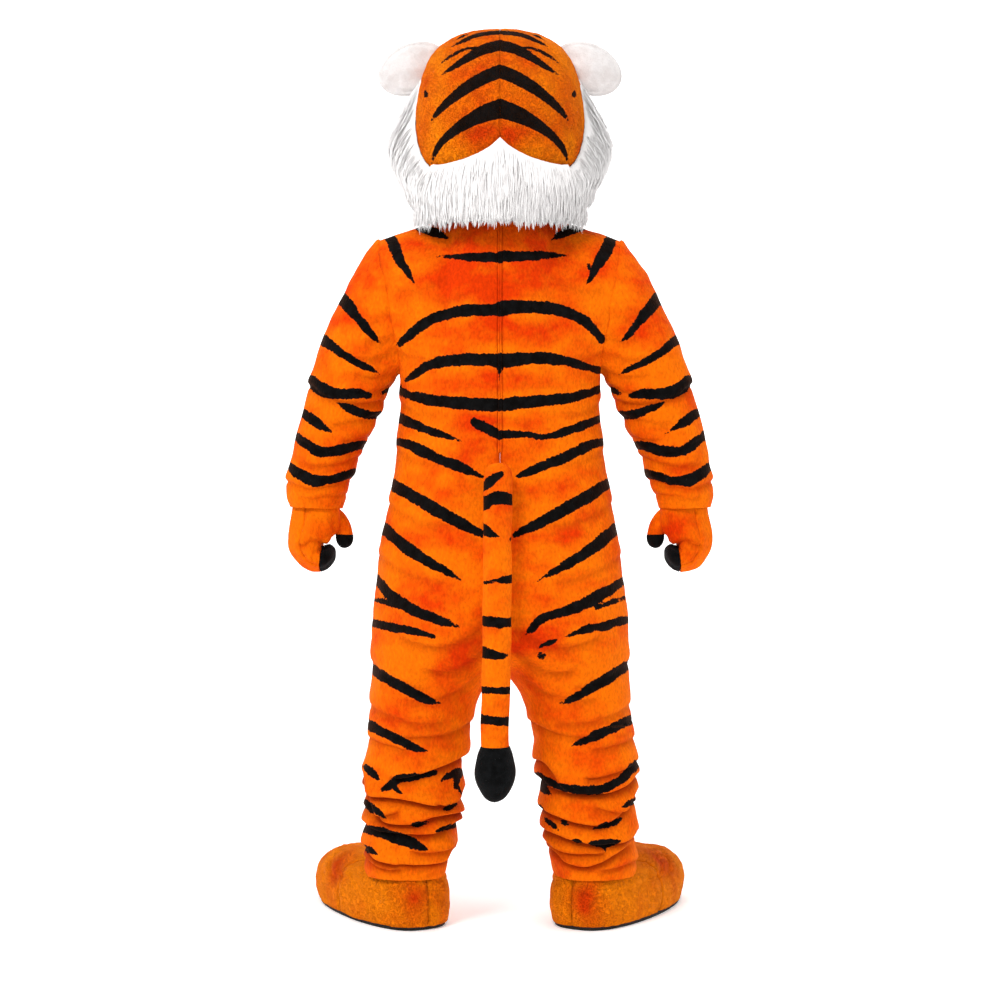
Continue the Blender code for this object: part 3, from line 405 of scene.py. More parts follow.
# a fold is a roll of cloth over a crease: how far the roll stands out, how far above the
# crease it does so, and how deep the crease is, in mm, then the crease's points
LEG_FOLDS_LEFT = (
    (12, 17, 5, (0.040, 0.374), (0.078, 0.357), (0.120, 0.335), (0.168, 0.316), (0.209, 0.308),
     (0.240, 0.312)),
    (15, 14, 6, (0.330, 0.352), (0.282, 0.322), (0.268, 0.281), (0.236, 0.270), (0.188, 0.260),
     (0.136, 0.254), (0.103, 0.270), (0.086, 0.294), (0.050, 0.318)),
    (13, 13, 6, (0.330, 0.318), (0.290, 0.294), (0.277, 0.277), (0.267, 0.254), (0.243, 0.220),
     (0.188, 0.213), (0.145, 0.226), (0.094, 0.237), (0.050, 0.250)),
    (13, 11, 6, (0.330, 0.248), (0.290, 0.220), (0.256, 0.198), (0.205, 0.190), (0.153, 0.190),
     (0.121, 0.202), (0.087, 0.220), (0.050, 0.238)),
    (13, 15, 6, (0.330, 0.205), (0.288, 0.166), (0.262, 0.134), (0.222, 0.124), (0.171, 0.122),
     (0.121, 0.130), (0.100, 0.156), (0.060, 0.185)),
    (7, 9, 4, (0.060, 0.292), (0.094, 0.272), (0.124, 0.262), (0.150, 0.266)),
    (6, 8, 4, (0.300, 0.262), (0.270, 0.238), (0.236, 0.236), (0.205, 0.242)),
    (6, 9, 3, (0.094, 0.176), (0.126, 0.158), (0.165, 0.152), (0.200, 0.158)),
    (6, 9, 3, (0.300, 0.150), (0.268, 0.118), (0.235, 0.108), (0.205, 0.112)),
)
LEG_FOLDS_RIGHT = (
    (8, 12, 4, (-0.055, 0.362), (-0.078, 0.350), (-0.102, 0.342), (-0.136, 0.301), (-0.150, 0.285)),
    (8, 14, 3, (-0.330, 0.368), (-0.289, 0.352), (-0.252, 0.328), (-0.204, 0.311), (-0.170, 0.312)),
    (15, 15, 6, (-0.040, 0.342), (-0.082, 0.316), (-0.116, 0.291), (-0.160, 0.276), (-0.218, 0.276),
     (-0.258, 0.294), (-0.289, 0.322), (-0.330, 0.350)),
    (15, 14, 6, (-0.040, 0.282), (-0.081, 0.254), (-0.119, 0.232), (-0.170, 0.213), (-0.218, 0.211),
     (-0.258, 0.237), (-0.282, 0.274), (-0.330, 0.320)),
    (14, 12, 6, (-0.050, 0.228), (-0.098, 0.203), (-0.126, 0.190), (-0.170, 0.173), (-0.222, 0.169),
     (-0.273, 0.179), (-0.296, 0.208), (-0.335, 0.240)),
    (8, 9, 4, (-0.080, 0.190), (-0.102, 0.175), (-0.136, 0.155), (-0.163, 0.147), (-0.204, 0.148),
     (-0.235, 0.156)),
    (9, 11, 5, (-0.080, 0.172), (-0.119, 0.148), (-0.143, 0.126), (-0.184, 0.116), (-0.218, 0.128),
     (-0.258, 0.152), (-0.290, 0.176)),
    (6, 9, 3, (-0.330, 0.150), (-0.285, 0.128), (-0.245, 0.112), (-0.200, 0.106)),
    (5, 8, 3, (-0.300, 0.262), (-0.262, 0.246), (-0.225, 0.243), (-0.190, 0.250)),
)
SLEEVE_FOLDS = (
    (3, 12, 1, (0.200, 1.330), (0.235, 1.300), (0.262, 1.280), (0.290, 1.290)),
    (4, 9, 2, (0.190, 1.256), (0.226, 1.246), (0.262, 1.235), (0.300, 1.240)),
    (4, 8, 2, (0.190, 1.232), (0.243, 1.207), (0.281, 1.195), (0.325, 1.202)),
    (4, 8, 2, (0.195, 1.196), (0.252, 1.164), (0.286, 1.159), (0.330, 1.169)),
    (5, 9, 3, (0.200, 1.166), (0.257, 1.133), (0.290, 1.128), (0.340, 1.133)),
    (7, 12, 4, (0.450, 1.165), (0.400, 1.138), (0.381, 1.121), (0.348, 1.109), (0.310, 1.104),
     (0.270, 1.106), (0.235, 1.118)),
    (4, 8, 2, (0.235, 1.098), (0.266, 1.078), (0.300, 1.069), (0.340, 1.060), (0.381, 1.059)),
    (5, 9, 3, (0.255, 1.062), (0.280, 1.040), (0.310, 1.028), (0.350, 1.024)),
    (4, 12, 2, (0.437, 1.031), (0.420, 1.022), (0.386, 1.005), (0.333, 0.997), (0.290, 1.014),
     (0.262, 1.026)),
    (5, 11, 3, (0.280, 1.002), (0.310, 0.989), (0.348, 0.974), (0.395, 0.969), (0.438, 0.983)),
    (4, 10, 3, (0.290, 0.958), (0.329, 0.940), (0.371, 0.926), (0.410, 0.921), (0.448, 0.936),
     (0.490, 0.950)),
    (3, 7, 2, (0.300, 0.925), (0.340, 0.910), (0.376, 0.905), (0.405, 0.900), (0.440, 0.908)),
)
BODY_FOLDS = (
    (3, 22, 1, (0.100, 1.378), (0.150, 1.352), (0.190, 1.342), (0.235, 1.350)),
    (2, 18, 1, (0.060, 1.340), (0.120, 1.318), (0.180, 1.300)),
    (3, 18, 1, (0.235, 1.225), (0.200, 1.205), (0.160, 1.198), (0.120, 1.204)),
    (3, 20, 1, (0.235, 1.125), (0.180, 1.084), (0.125, 1.080)),
    (3, 22, 1, (0.250, 1.030), (0.200, 0.990), (0.150, 0.975), (0.100, 0.980)),
    (4, 26, 1, (0.265, 0.915), (0.205, 0.866), (0.150, 0.846), (0.090, 0.840)),
    (4, 26, 1, (0.280, 0.800), (0.220, 0.752), (0.160, 0.728), (0.100, 0.720)),
    (5, 24, 2, (0.020, 0.640), (0.070, 0.604), (0.125, 0.586), (0.180, 0.592), (0.230, 0.615)),
    (5, 22, 2, (0.020, 0.590), (0.065, 0.552), (0.120, 0.532), (0.175, 0.540)),
    (4, 22, 2, (0.310, 0.590), (0.250, 0.530), (0.195, 0.505), (0.150, 0.500)),
    (4, 20, 2, (0.030, 0.540), (0.075, 0.500), (0.120, 0.478), (0.175, 0.470), (0.220, 0.480)),
    (5, 20, 2, (0.320, 0.500), (0.260, 0.450), (0.205, 0.428), (0.150, 0.422), (0.110, 0.432)),
    (5, 18, 2, (0.040, 0.440), (0.085, 0.415), (0.130, 0.398), (0.180, 0.392), (0.220, 0.398)),
    (5, 17, 2, (0.320, 0.420), (0.275, 0.390), (0.230, 0.372), (0.185, 0.364)),
)
# where the nap lies over and shows redder: x, height, spread across and up, strength
WARM_PATCHES = (
    (0.000, 1.450, 0.190, 0.060, 1.0),
    (-0.070, 1.360, 0.130, 0.045, 0.9),
    (0.080, 1.370, 0.100, 0.045, 0.8),
    (0.030, 1.265, 0.110, 0.030, 0.7),
    (-0.090, 1.255, 0.090, 0.030, 0.7),
    (0.120, 1.215, 0.060, 0.026, 0.4),
    (0.040, 1.150, 0.120, 0.022, 0.9),
    (-0.060, 1.152, 0.090, 0.022, 0.9),
    (0.060, 1.070, 0.070, 0.022, 0.6),
    (-0.040, 1.062, 0.090, 0.018, 0.5),
    (0.000, 0.995, 0.070, 0.035, 0.8),
    (0.110, 0.920, 0.070, 0.035, 0.5),
    (-0.110, 0.918, 0.080, 0.035, 0.5),
    (0.130, 0.815, 0.080, 0.035, 0.5),
    (-0.120, 0.812, 0.080, 0.035, 0.5),
    (0.110, 0.690, 0.080, 0.030, 0.5),
    (-0.140, 0.720, 0.080, 0.030, 0.6),
    (0.060, 0.590, 0.060, 0.060, 0.8),
    (-0.080, 0.610, 0.060, 0.050, 0.8),
    (0.190, 0.440, 0.080, 0.040, 0.5),
    (-0.170, 0.430, 0.080, 0.040, 0.6),
)


# ---------------------------------------------------------------- small helpers
def smooth_columns(table, wanted):
    """Columns of a table at any value of its first one, on smooth curves through its rows."""
    rows = np.array(sorted(table), float)
    knots = rows[:, 0]
    values = rows[:, 1:]
    slopes = np.gradient(values, knots, axis=0)
    at = np.clip(wanted, knots[0], knots[-1])
    low = np.clip(np.searchsorted(knots, at) - 1, 0, len(knots) - 2)
    span = (knots[low + 1] - knots[low])[..., None]
    share = (at - knots[low])[..., None] / span
    square = share * share
    cube = square * share
    mixed = (values[low] * (2 * cube - 3 * square + 1) + slopes[low] * span * (cube - 2 * square + share)
             + values[low + 1] * (3 * square - 2 * cube) + slopes[low + 1] * span * (cube - square))
    return np.moveaxis(mixed, -1, 0)


def numbered(table):
    return [(index, *row) for index, row in enumerate(table)]


def power(value, exponent):
    return np.sign(value) * np.abs(value) ** exponent


def smooth_step(value, low, high):
    share = np.clip((value - low) / (high - low), 0.0, 1.0)
    return share * share * (3.0 - 2.0 * share)


def resampled(table, rows):
    """Columns of a table at even steps from its first row to its last."""
    return smooth_columns(numbered(table), np.linspace(0, len(table) - 1, rows))


def smooth_line(points, pieces=6):
    """Points of a smooth curve through a row of points."""
    return np.array(resampled(points, pieces * (len(points) - 1) + 1)).T


def full_turn(columns):
    return np.linspace(0.0, 2.0 * math.pi, columns, endpoint=False)


def lumps(points, size, seed, waves=22):
    """Soft unevenness between -1 and 1, with hollows about one size apart."""
    rng = np.random.default_rng(seed)
    total = np.zeros(points.shape[:-1])
    for _ in range(waves):
        direction = rng.normal(size=3)
        direction *= rng.uniform(0.6, 1.5) * math.pi / size / np.linalg.norm(direction)
        total += np.sin(points @ direction + rng.uniform(0.0, 2.0 * math.pi))
    return total / math.sqrt(waves)


def laid_out(points):
    """Where points of the costume lie in the flat layout of stripes and folds."""
    height = points[..., 2] + SHOULDER_HEIGHT
    spread = LAYOUT_DISTANCE / (LAYOUT_DISTANCE - np.abs(points[..., 1]))
    return points[..., 0] * spread, LAYOUT_HEIGHT + (height - LAYOUT_HEIGHT) * spread


def nearest_on_line(x, height, line):
    """Distance to a line, the line's height there and its share of the way along."""
    best = np.full(x.shape, 9.0)
    level = np.zeros(x.shape)
    along = np.zeros(x.shape)
    count = len(line) - 1
    for index in range(count):
        start = line[index]
        step = line[index + 1] - start
        share = ((x - start[0]) * step[0] + (height - start[1]) * step[1]) / (step @ step + 1e-12)
        share = np.clip(share, 0.0, 1.0)
        at_height = start[1] + step[1] * share
        away = np.hypot(x - start[0] - step[0] * share, height - at_height)
        closer = away < best
        best = np.where(closer, away, best)
        level = np.where(closer, at_height, level)
        along = np.where(closer, (index + share) / count, along)
    return best, level, along


def inside_stripes(x, height, stripes, thinning=1.0):
    """How far inside a stripe each place lies, in metres; negative outside."""
    best = np.full(x.shape, -0.05)
    for stripe in stripes:
        line = smooth_line(stripe)
        widths = np.maximum(line[:, 2], 0.0) * 0.0005
        away, _, along = nearest_on_line(x, height, line[:, :2])
        half = np.interp(along, np.linspace(0.0, 1.0, len(line)), widths) * thinning
        best = np.maximum(best, half - away)
    return best


CREASE_WIDTH = 0.0055
CREASE_SHADE = (0.012, 0.008)       # how far below and above a crease its painted shade reaches


def fold_rise(x, height, folds):
    """How far rolls stand out over their creases, and how strongly painted shade darkens each place near a
    crease.
    """
    total = np.zeros(x.shape)
    depth = np.zeros(x.shape)
    for rise, peak, tuck, *crease in folds:
        away, level, along = nearest_on_line(x, height, smooth_line(crease))
        fade = smooth_step(along, 0.0, 0.16) * smooth_step(1.0 - along, 0.0, 0.16)
        share = away / (peak * 0.001)
        roll = np.where(height > level, rise * share * np.exp(1.0 - share), 0.0)
        sunk = np.exp(-(away / CREASE_WIDTH) ** 2) * fade
        total += 0.001 * (roll * fade - tuck * sunk)
        # painted shade: the pile is drawn darker near a crease, reaching further below it than above
        reach = np.where(height > level, CREASE_SHADE[1], CREASE_SHADE[0])
        shaded = np.exp(-(away / reach) ** 2) * fade
        depth = np.maximum(depth, shaded * min(1.0, (rise + tuck) / 16.0))
    return total, depth


def mirrored(stripes):
    return tuple(tuple((-x, *rest) for x, *rest in stripe) for stripe in stripes)


def mirrored_folds(folds):
    return tuple((*fold[:3], *((-x, height) for x, height in fold[3:])) for fold in folds)


def outward(grid, inside, wrap=False):
    """Unit normals of a grid of points, pointing away from its inside."""
    upward = np.gradient(grid, axis=0)
    if wrap:
        across = np.roll(grid, -1, axis=1) - np.roll(grid, 1, axis=1)
    else:
        across = np.gradient(grid, axis=1)
    normals = np.cross(upward, across)
    normals /= np.maximum(np.linalg.norm(normals, axis=2, keepdims=True), 1e-12)
    return normals * np.sign(np.sum(normals * (grid - inside)))


def grid_faces(rows, columns, wrap):
    index = np.arange(rows * columns).reshape(rows, columns)
    if wrap:
        index = np.concatenate([index, index[:, :1]], axis=1)
    corners = (index[:-1, :-1], index[:-1, 1:], index[1:, 1:], index[1:, :-1])
    return np.stack(corners, axis=-1).reshape(-1, 4)


def mesh_piece(name, points, faces, mat, values=()):
    """Object from points and faces, with a named number on each point."""
    mesh = bpy.data.meshes.new(name)
    faces = faces if isinstance(faces, list) else faces.tolist()
    mesh.from_pydata(points.reshape(-1, 3).tolist(), [], faces)
    for label, numbers in dict(values).items():
        kept = mesh.attributes.new(label, "FLOAT", "POINT")
        kept.data.foreach_set("value", np.ascontiguousarray(numbers, dtype=np.float32).ravel())
    mesh.materials.append(mat)
    mesh.shade_smooth()
    piece = bpy.data.objects.new(name, mesh)
    bpy.context.scene.collection.objects.link(piece)
    return piece


def cloth_piece(name, grid, mat, wall, values=(), wrap=False):
    """Thin cloth shell on a grid of points."""
    piece = mesh_piece(name, grid, grid_faces(*grid.shape[:2], wrap), mat, values)
    thickness = piece.modifiers.new("cloth thickness", "SOLIDIFY")
    thickness.thickness = wall
    thickness.offset = 0.0
    return piece


def stuffed_piece(name, grid, mat, values=()):
    """Closed stuffed form through rings, its two ends capped."""
    rows, columns = grid.shape[:2]
    faces = grid_faces(rows, columns, True).tolist()
    faces.append(list(range(columns)))
    faces.append(list(range((rows - 1) * columns, rows * columns))[::-1])
    return mesh_piece(name, grid, faces, mat, values)


def worn(piece, slot, *nodes):
    """Puts a finished piece on the costume in place of its plain solids."""
    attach(piece, "root")
    if nodes:
        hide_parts(*nodes)


# ---------------------------------------------------------------- materials
def linear(hex_colour):
    channels = [int(hex_colour[start:start + 2], 16) / 255.0 for start in (1, 3, 5)]
    return tuple(c / 12.92 if c <= 0.04045 else ((c + 0.055) / 1.055) ** 2.4 for c in channels) + (1.0,)


def add(tree, kind, inputs=None, **settings):
    """Adds a node; inputs holds a number, a colour or another node's output for each socket."""
    new = tree.nodes.new(kind)
    for key, value in settings.items():
        setattr(new, key, value)
    for key, value in (inputs or {}).items():
        if isinstance(value, bpy.types.NodeSocket):
            tree.links.new(value, new.inputs[key])
        else:
            new.inputs[key].default_value = value
    return new


def new_material(name):
    mat = bpy.data.materials.new(name)
    mat.use_nodes = True
    tree = mat.node_tree
    return mat, tree, tree.nodes["Principled BSDF"]


def attribute(tree, label):
    return add(tree, "ShaderNodeAttribute", attribute_name=label).outputs["Fac"]


def noise(tree, size_mm, detail=2.0, distortion=0.0, stretch=None):
    """Noise with lumps of about size_mm on the piece."""
    place = add(tree, "ShaderNodeTexCoord").outputs["Object"]
    if stretch:
        place = add(tree, "ShaderNodeMapping", {"Vector": place, "Scale": stretch}).outputs[0]
    return add(tree, "ShaderNodeTexNoise", {"Vector": place, "Scale": 1000.0 / size_mm, "Detail": detail,
                                            "Distortion": distortion}).outputs["Fac"]


def between(tree, value, low, high, out_low=0.0, out_high=1.0):
    ranged = add(tree, "ShaderNodeMapRange", {"Value": value, "From Min": low, "From Max": high,
                                              "To Min": out_low, "To Max": out_high})
    return ranged.outputs["Result"]


def math_of(tree, operation, first, second):
    return add(tree, "ShaderNodeMath", {0: first, 1: second}, operation=operation).outputs[0]


def mixed(tree, share, first, second, blend="MIX"):
    mix = add(tree, "ShaderNodeMix", {0: share, 6: first, 7: second}, data_type="RGBA", blend_type=blend)
    return mix.outputs[2]


def finish_cloth(tree, shader, colour, height, distance_mm, roughness, sheen, sheen_tint):
    bump = add(tree, "ShaderNodeBump", {"Height": height, "Strength": 1.0, "Distance": distance_mm * 0.001})
    tree.links.new(colour, shader.inputs["Base Color"])
    tree.links.new(bump.outputs[0], shader.inputs["Normal"])
    shader.inputs["Roughness"].default_value = roughness
    shader.inputs["Sheen Weight"].default_value = sheen
    shader.inputs["Sheen Roughness"].default_value = 0.45
    shader.inputs["Sheen Tint"].default_value = linear(sheen_tint)
    shader.inputs["Specular IOR Level"].default_value = 0.05


def printed_black(tree, size_mm):
    """The black of a printed stripe, faintly uneven."""
    uneven = between(tree, noise(tree, size_mm, detail=3.0), 0.35, 0.7)
    return mixed(tree, uneven, linear("#040404"), linear("#0E0F10"))


def ragged(tree, edge, size_mm, low, high, reach):
    """Lets a stripe's edge wander by up to reach either way."""
    wander = between(tree, noise(tree, size_mm, detail=2.0), low, high, -reach, reach)
    return math_of(tree, "ADD", edge, wander)


def brushed_plush():
    """Polyester minky plush, dyed and stripe-printed: a 3 mm pile that lies one way, so it
    shows lighter orange where it stands and redder where it is brushed over."""
    mat, tree, shader = new_material("brushed polyester plush")
    nap = noise(tree, 95.0, detail=3.0, stretch=(1.0, 1.0, 1.5))
    nap = math_of(tree, "ADD", between(tree, nap, 0.36, 0.68, -0.15, 0.85), attribute(tree, "warm"))
    nap = math_of(tree, "ADD", nap, between(tree, noise(tree, 22.0, detail=4.0), 0.3, 0.7, -0.18, 0.18))
    orange = mixed(tree, between(tree, nap, 0.15, 1.25), linear("#FD7402"), linear("#E43A00"))
    # the pile tips are finer than can show, so they are drawn about 5 mm apart
    pile = noise(tree, 5.0, detail=3.0, stretch=(1.0, 1.0, 0.6))
    tips = mixed(tree, between(tree, pile, 0.3, 0.7), linear("#DDD8D4"), linear("#FFFFFF"))
    orange = mixed(tree, 1.0, orange, tips, "MULTIPLY")
    # painted shade: the pile is drawn red-brown in creases, along sunken seams and between the zip flaps
    painted_crease_and_seam_shade = between(tree, attribute(tree, "painted_crease_and_seam_shade"), 0.05, 0.9, 0.0, 0.85)
    orange = mixed(tree, painted_crease_and_seam_shade, orange, linear("#8A1E00"))
    edge = ragged(tree, attribute(tree, "stripe"), 5.0, 0.25, 0.75, 0.0016)
    edge = ragged(tree, edge, 30.0, 0.3, 0.7, 0.0020)
    colour = mixed(tree, between(tree, edge, -0.0004, 0.0005), orange, printed_black(tree, 16.0))
    finish_cloth(tree, shader, colour, pile, 1.7, 0.9, 0.07, "#FF9040")
    return mat


def curly_plush():
    """Curly sherpa-like plush on the head and boots: 6 mm swirls, with painted shade darkening the sunken
    lines between them.
    """
    mat, tree, shader = new_material("curly polyester plush")
    curl = noise(tree, 9.5, detail=2.0, distortion=2.4)
    line = math_of(tree, "ABSOLUTE", math_of(tree, "SUBTRACT", curl, 0.5), 0.0)
    line = between(tree, line, 0.0, 0.05)
    nap = math_of(tree, "ADD", between(tree, noise(tree, 80.0, detail=3.0), 0.35, 0.7, -0.3, 0.5),
                  attribute(tree, "warm"))
    orange = mixed(tree, between(tree, nap, 0.0, 1.2), linear("#FF8604"), linear("#DC3C00"))
    # painted shade: the sunken lines between the swirls, where the bump is lowest, are drawn darker
    orange = mixed(tree, between(tree, line, 0.0, 1.0, 0.30, 0.0), orange, linear("#A43400"))
    pile = noise(tree, 3.0, detail=3.0)
    orange = mixed(tree, 1.0, orange, mixed(tree, pile, linear("#EAEAEA"), linear("#FFFFFF")), "MULTIPLY")
    edge = ragged(tree, attribute(tree, "stripe"), 6.0, 0.25, 0.75, 0.0011)
    colour = mixed(tree, between(tree, edge, -0.0004, 0.0005), orange, printed_black(tree, 14.0))
    height = math_of(tree, "ADD", line, math_of(tree, "MULTIPLY", pile, 0.8))
    finish_cloth(tree, shader, colour, height, 1.8, 0.9, 0.06, "#FF9040")
    return mat


def black_plush():
    """The same short pile in black: a faint grey sheen where it turns to the light."""
    mat, tree, shader = new_material("black polyester plush")
    colour = mixed(tree, between(tree, noise(tree, 14.0, detail=3.0), 0.35, 0.7),
                   linear("#050505"), linear("#101112"))
    finish_cloth(tree, shader, colour, noise(tree, 3.2, detail=3.0), 1.5, 0.88, 0.10, "#B0B6BA")
    return mat


def long_fur():
    """Long straight acrylic fur, combed down: fine streaks along the hair, with painted shade at the roots,
    toward the coat's lower edge and on its inner face.
    """
    mat, tree, shader = new_material("long white acrylic fur")
    around = attribute(tree, "around")
    down = attribute(tree, "down")
    # single hairs are too fine to show, so the streaks are about 1.5 mm wide
    place = add(tree, "ShaderNodeCombineXYZ", {0: around, 1: down, 2: 0.0}).outputs[0]
    streaks = add(tree, "ShaderNodeMapping", {"Vector": place, "Scale": (640.0, 26.0, 1.0)}).outputs[0]
    hair = add(tree, "ShaderNodeTexNoise", {"Vector": streaks, "Scale": 1.0, "Detail": 3.0}).outputs["Fac"]
    tufts = add(tree, "ShaderNodeMapping", {"Vector": place, "Scale": (75.0, 9.0, 1.0)}).outputs[0]
    tuft = add(tree, "ShaderNodeTexNoise", {"Vector": tufts, "Scale": 1.0, "Detail": 2.0}).outputs["Fac"]
    # the painted shade carried by the pieces is added to the streaks and tufts, darkening the white toward
    # pink-grey
    shade = math_of(tree, "ADD", between(tree, hair, 0.3, 0.7, 0.0, 0.16), attribute(tree, "shade"))
    shade = math_of(tree, "ADD", shade, between(tree, tuft, 0.35, 0.7, -0.05, 0.12))
    colour = mixed(tree, between(tree, shade, 0.0, 1.0), linear("#F7F5F4"), linear("#DDD6D4"))
    finish_cloth(tree, shader, colour, hair, 0.25, 0.78, 0.15, "#FFFFFF")
    return mat


def white_plush():
    """White minky plush on ears, muzzle and chin: soft pile with faint pink-grey painted shade in the
    shallow creases of its bump.
    """
    mat, tree, shader = new_material("white polyester plush")
    soft = between(tree, noise(tree, 22.0, detail=4.0), 0.34, 0.66)
    # painted shade: darker pink-grey where the soft bump sinks into creases
    colour = mixed(tree, soft, linear("#DBD6D4"), linear("#E9E6E5"))
    pile = noise(tree, 2.8, detail=3.0)
    colour = mixed(tree, 1.0, colour, mixed(tree, pile, linear("#EAE8E8"), linear("#FFFFFF")), "MULTIPLY")
    finish_cloth(tree, shader, colour, math_of(tree, "ADD", pile, soft), 1.2, 0.88, 0.15, "#FFFFFF")
    return mat


def rose_velour():
    """Velour on the nose: very short dense pile with a faint bloom."""
    mat, tree, shader = new_material("rose velour")
    colour = mixed(tree, noise(tree, 6.0, detail=3.0), linear("#A04840"), linear("#BC6258"))
    finish_cloth(tree, shader, colour, noise(tree, 1.6, detail=2.0), 0.5, 0.75, 0.25, "#F0B8B0")
    return mat


def moulded_eye():
    """Glossy moulded acrylic eye: dark pupil in an amber iris under a clear surface."""
    mat, tree, shader = new_material("moulded acrylic eye")
    rings = attribute(tree, "iris")
    speck = between(tree, noise(tree, 3.0, detail=3.0), 0.3, 0.7)
    amber = mixed(tree, speck, linear("#8A4A10"), linear("#C98A22"))
    colour = mixed(tree, between(tree, rings, 0.56, 0.60), linear("#060606"), amber)
    colour = mixed(tree, between(tree, rings, 0.84, 0.88), colour, linear("#0A0908"))
    tree.links.new(colour, shader.inputs["Base Color"])
    shader.inputs["Roughness"].default_value = 0.12
    shader.inputs["IOR"].default_value = 1.49
    shader.inputs["Coat Weight"].default_value = 0.6
    return mat


def foam_rubber():
    """EVA foam-rubber soles: matt black with fine ribs, dulled by dust."""
    mat, tree, shader = new_material("ribbed EVA foam rubber")
    place = add(tree, "ShaderNodeTexCoord").outputs["Object"]
    ribs = add(tree, "ShaderNodeTexWave", {"Vector": place, "Scale": 60.0, "Distortion": 0.4},
               wave_type="BANDS", bands_direction="X").outputs["Fac"]
    dust = between(tree, noise(tree, 40.0, detail=4.0), 0.4, 0.75)
    colour = mixed(tree, dust, linear("#0F0F0F"), linear("#2A2724"))
    bump = add(tree, "ShaderNodeBump", {"Height": ribs, "Strength": 0.5, "Distance": 0.0006})
    tree.links.new(colour, shader.inputs["Base Color"])
    tree.links.new(bump.outputs[0], shader.inputs["Normal"])
    shader.inputs["Roughness"].default_value = 0.82
    shader.inputs["IOR"].default_value = 1.48
    return mat


def white_sweep(name, glow):
    """Matt white studio sweep that gives off a little light, so it stays near white."""
    mat, tree, shader = new_material(name)
    colour = mixed(tree, noise(tree, 900.0), linear("#F9F9F9"), linear("#FCFCFC"))
    tree.links.new(colour, shader.inputs["Base Color"])
    shader.inputs["Roughness"].default_value = 0.95
    shader.inputs["Specular IOR Level"].default_value = 0.1
    shader.inputs["Emission Color"].default_value = linear("#FFFFFF")
    shader.inputs["Emission Strength"].default_value = glow
    return mat


# ---------------------------------------------------------------- suit
SLOUCH_TOP = 0.430           # the slouched folds lie below this height
SLOUCH_STEP = 0.0026         # between rows of points there, and above
SMOOTH_STEP = 0.0066
BELLY_EDGES = (0.085, 0.185) # stripes thin out between these half widths on the front
CROTCH_BLEND = (0.62, 0.10)  # where the plain belly ends, and over how much height


def body_heights():
    lower = np.arange(BODY[-1][0], SLOUCH_TOP, SLOUCH_STEP)
    upper = np.arange(SLOUCH_TOP, CHEST_HEIGHT, SMOOTH_STEP)
    return np.concatenate([lower, upper])


def body_grid(side, facing, columns):
    """Quarter of the suit from the ankle hem to the armpit, then up to the shoulder."""
    height = body_heights()
    centre, half_width, back, front = smooth_columns(BODY, height)
    depth = back if facing > 0.0 else front
    share = np.clip((centre - SEAM) / half_width, 0.0, 1.0)
    first = np.arccos(power(share, BODY_SQUARENESS / 2.0))
    step = np.linspace(0.0, 1.0, columns + 1)
    angle = first[:, None] + (math.pi - first[:, None]) * step
    bend = 2.0 / BODY_SQUARENESS
    x = centre[:, None] - half_width[:, None] * power(np.cos(angle), bend)
    y = depth[:, None] * power(np.sin(angle), bend)
    turn = math.radians(BOOT_TOE_OUT)
    toes = -np.cos(angle) * math.sin(turn) - facing * np.sin(angle) * math.cos(turn)
    low = np.clip((HEM_RISE_FROM - height) / (HEM_RISE_FROM - BODY[-1][0]), 0.0, 1.0)[:, None]
    rise = HEM_RISE * low * np.maximum(toes, 0.0) ** HEM_RISE_SPREAD
    lower = np.stack([x * side, y * facing, height[:, None] + rise], axis=-1)
    return np.concatenate([lower, yoke_grid(side, facing, columns)])


def yoke_grid(side, facing, columns, rows=56):
    """Yoke stretched between the chest line, the centre line, the armhole and the shoulder."""
    face = "back" if facing > 0.0 else "front"
    chest_row = BODY[0]
    depth = chest_row[3] if facing > 0.0 else chest_row[4]
    share = np.linspace(0.0, 1.0, columns + 1)
    rise = np.linspace(0.0, 1.0, rows)[:, None]
    angle = 0.5 * math.pi * (1.0 + share)
    bend = 2.0 / BODY_SQUARENESS
    chest = np.stack([-chest_row[2] * power(np.cos(angle), bend), depth * power(np.sin(angle), bend),
                      np.full(share.shape, CHEST_HEIGHT)], axis=-1)
    top = neckline(share, face)
    up = power(np.sin(0.5 * math.pi * rise), 2.0 / YOKE_SQUARENESS)
    inward = 1.0 - power(np.cos(0.5 * math.pi * rise), 2.0 / YOKE_SQUARENESS)
    centre = np.concatenate([0.0 * rise, depth + (top[0, 1] - depth) * inward,
                             CHEST_HEIGHT + (top[0, 2] - CHEST_HEIGHT) * up], axis=1)
    swing = 0.5 * (1.0 - np.cos(math.pi * rise))
    armhole = np.concatenate([ARMPIT[0] + (SHOULDER_TIP[0] - ARMPIT[0]) * swing,
                              ARMHOLE_DEPTH * np.sin(math.pi * rise),
                              ARMPIT[1] + (SHOULDER_TIP[1] - ARMPIT[1]) * swing], axis=1)
    s = share[None, :, None]
    r = rise[:, :, None]
    across = centre[:, None] * (1.0 - s) + armhole[:, None] * s
    upward = chest[None] * (1.0 - r) + top[None] * r
    chest_edge = centre[0] * (1.0 - s) + armhole[0] * s
    top_edge = top[0] * (1.0 - s) + top[-1] * s
    points = across + upward - (chest_edge * (1.0 - r) + top_edge * r)
    return points * np.array([side, facing, 1.0])


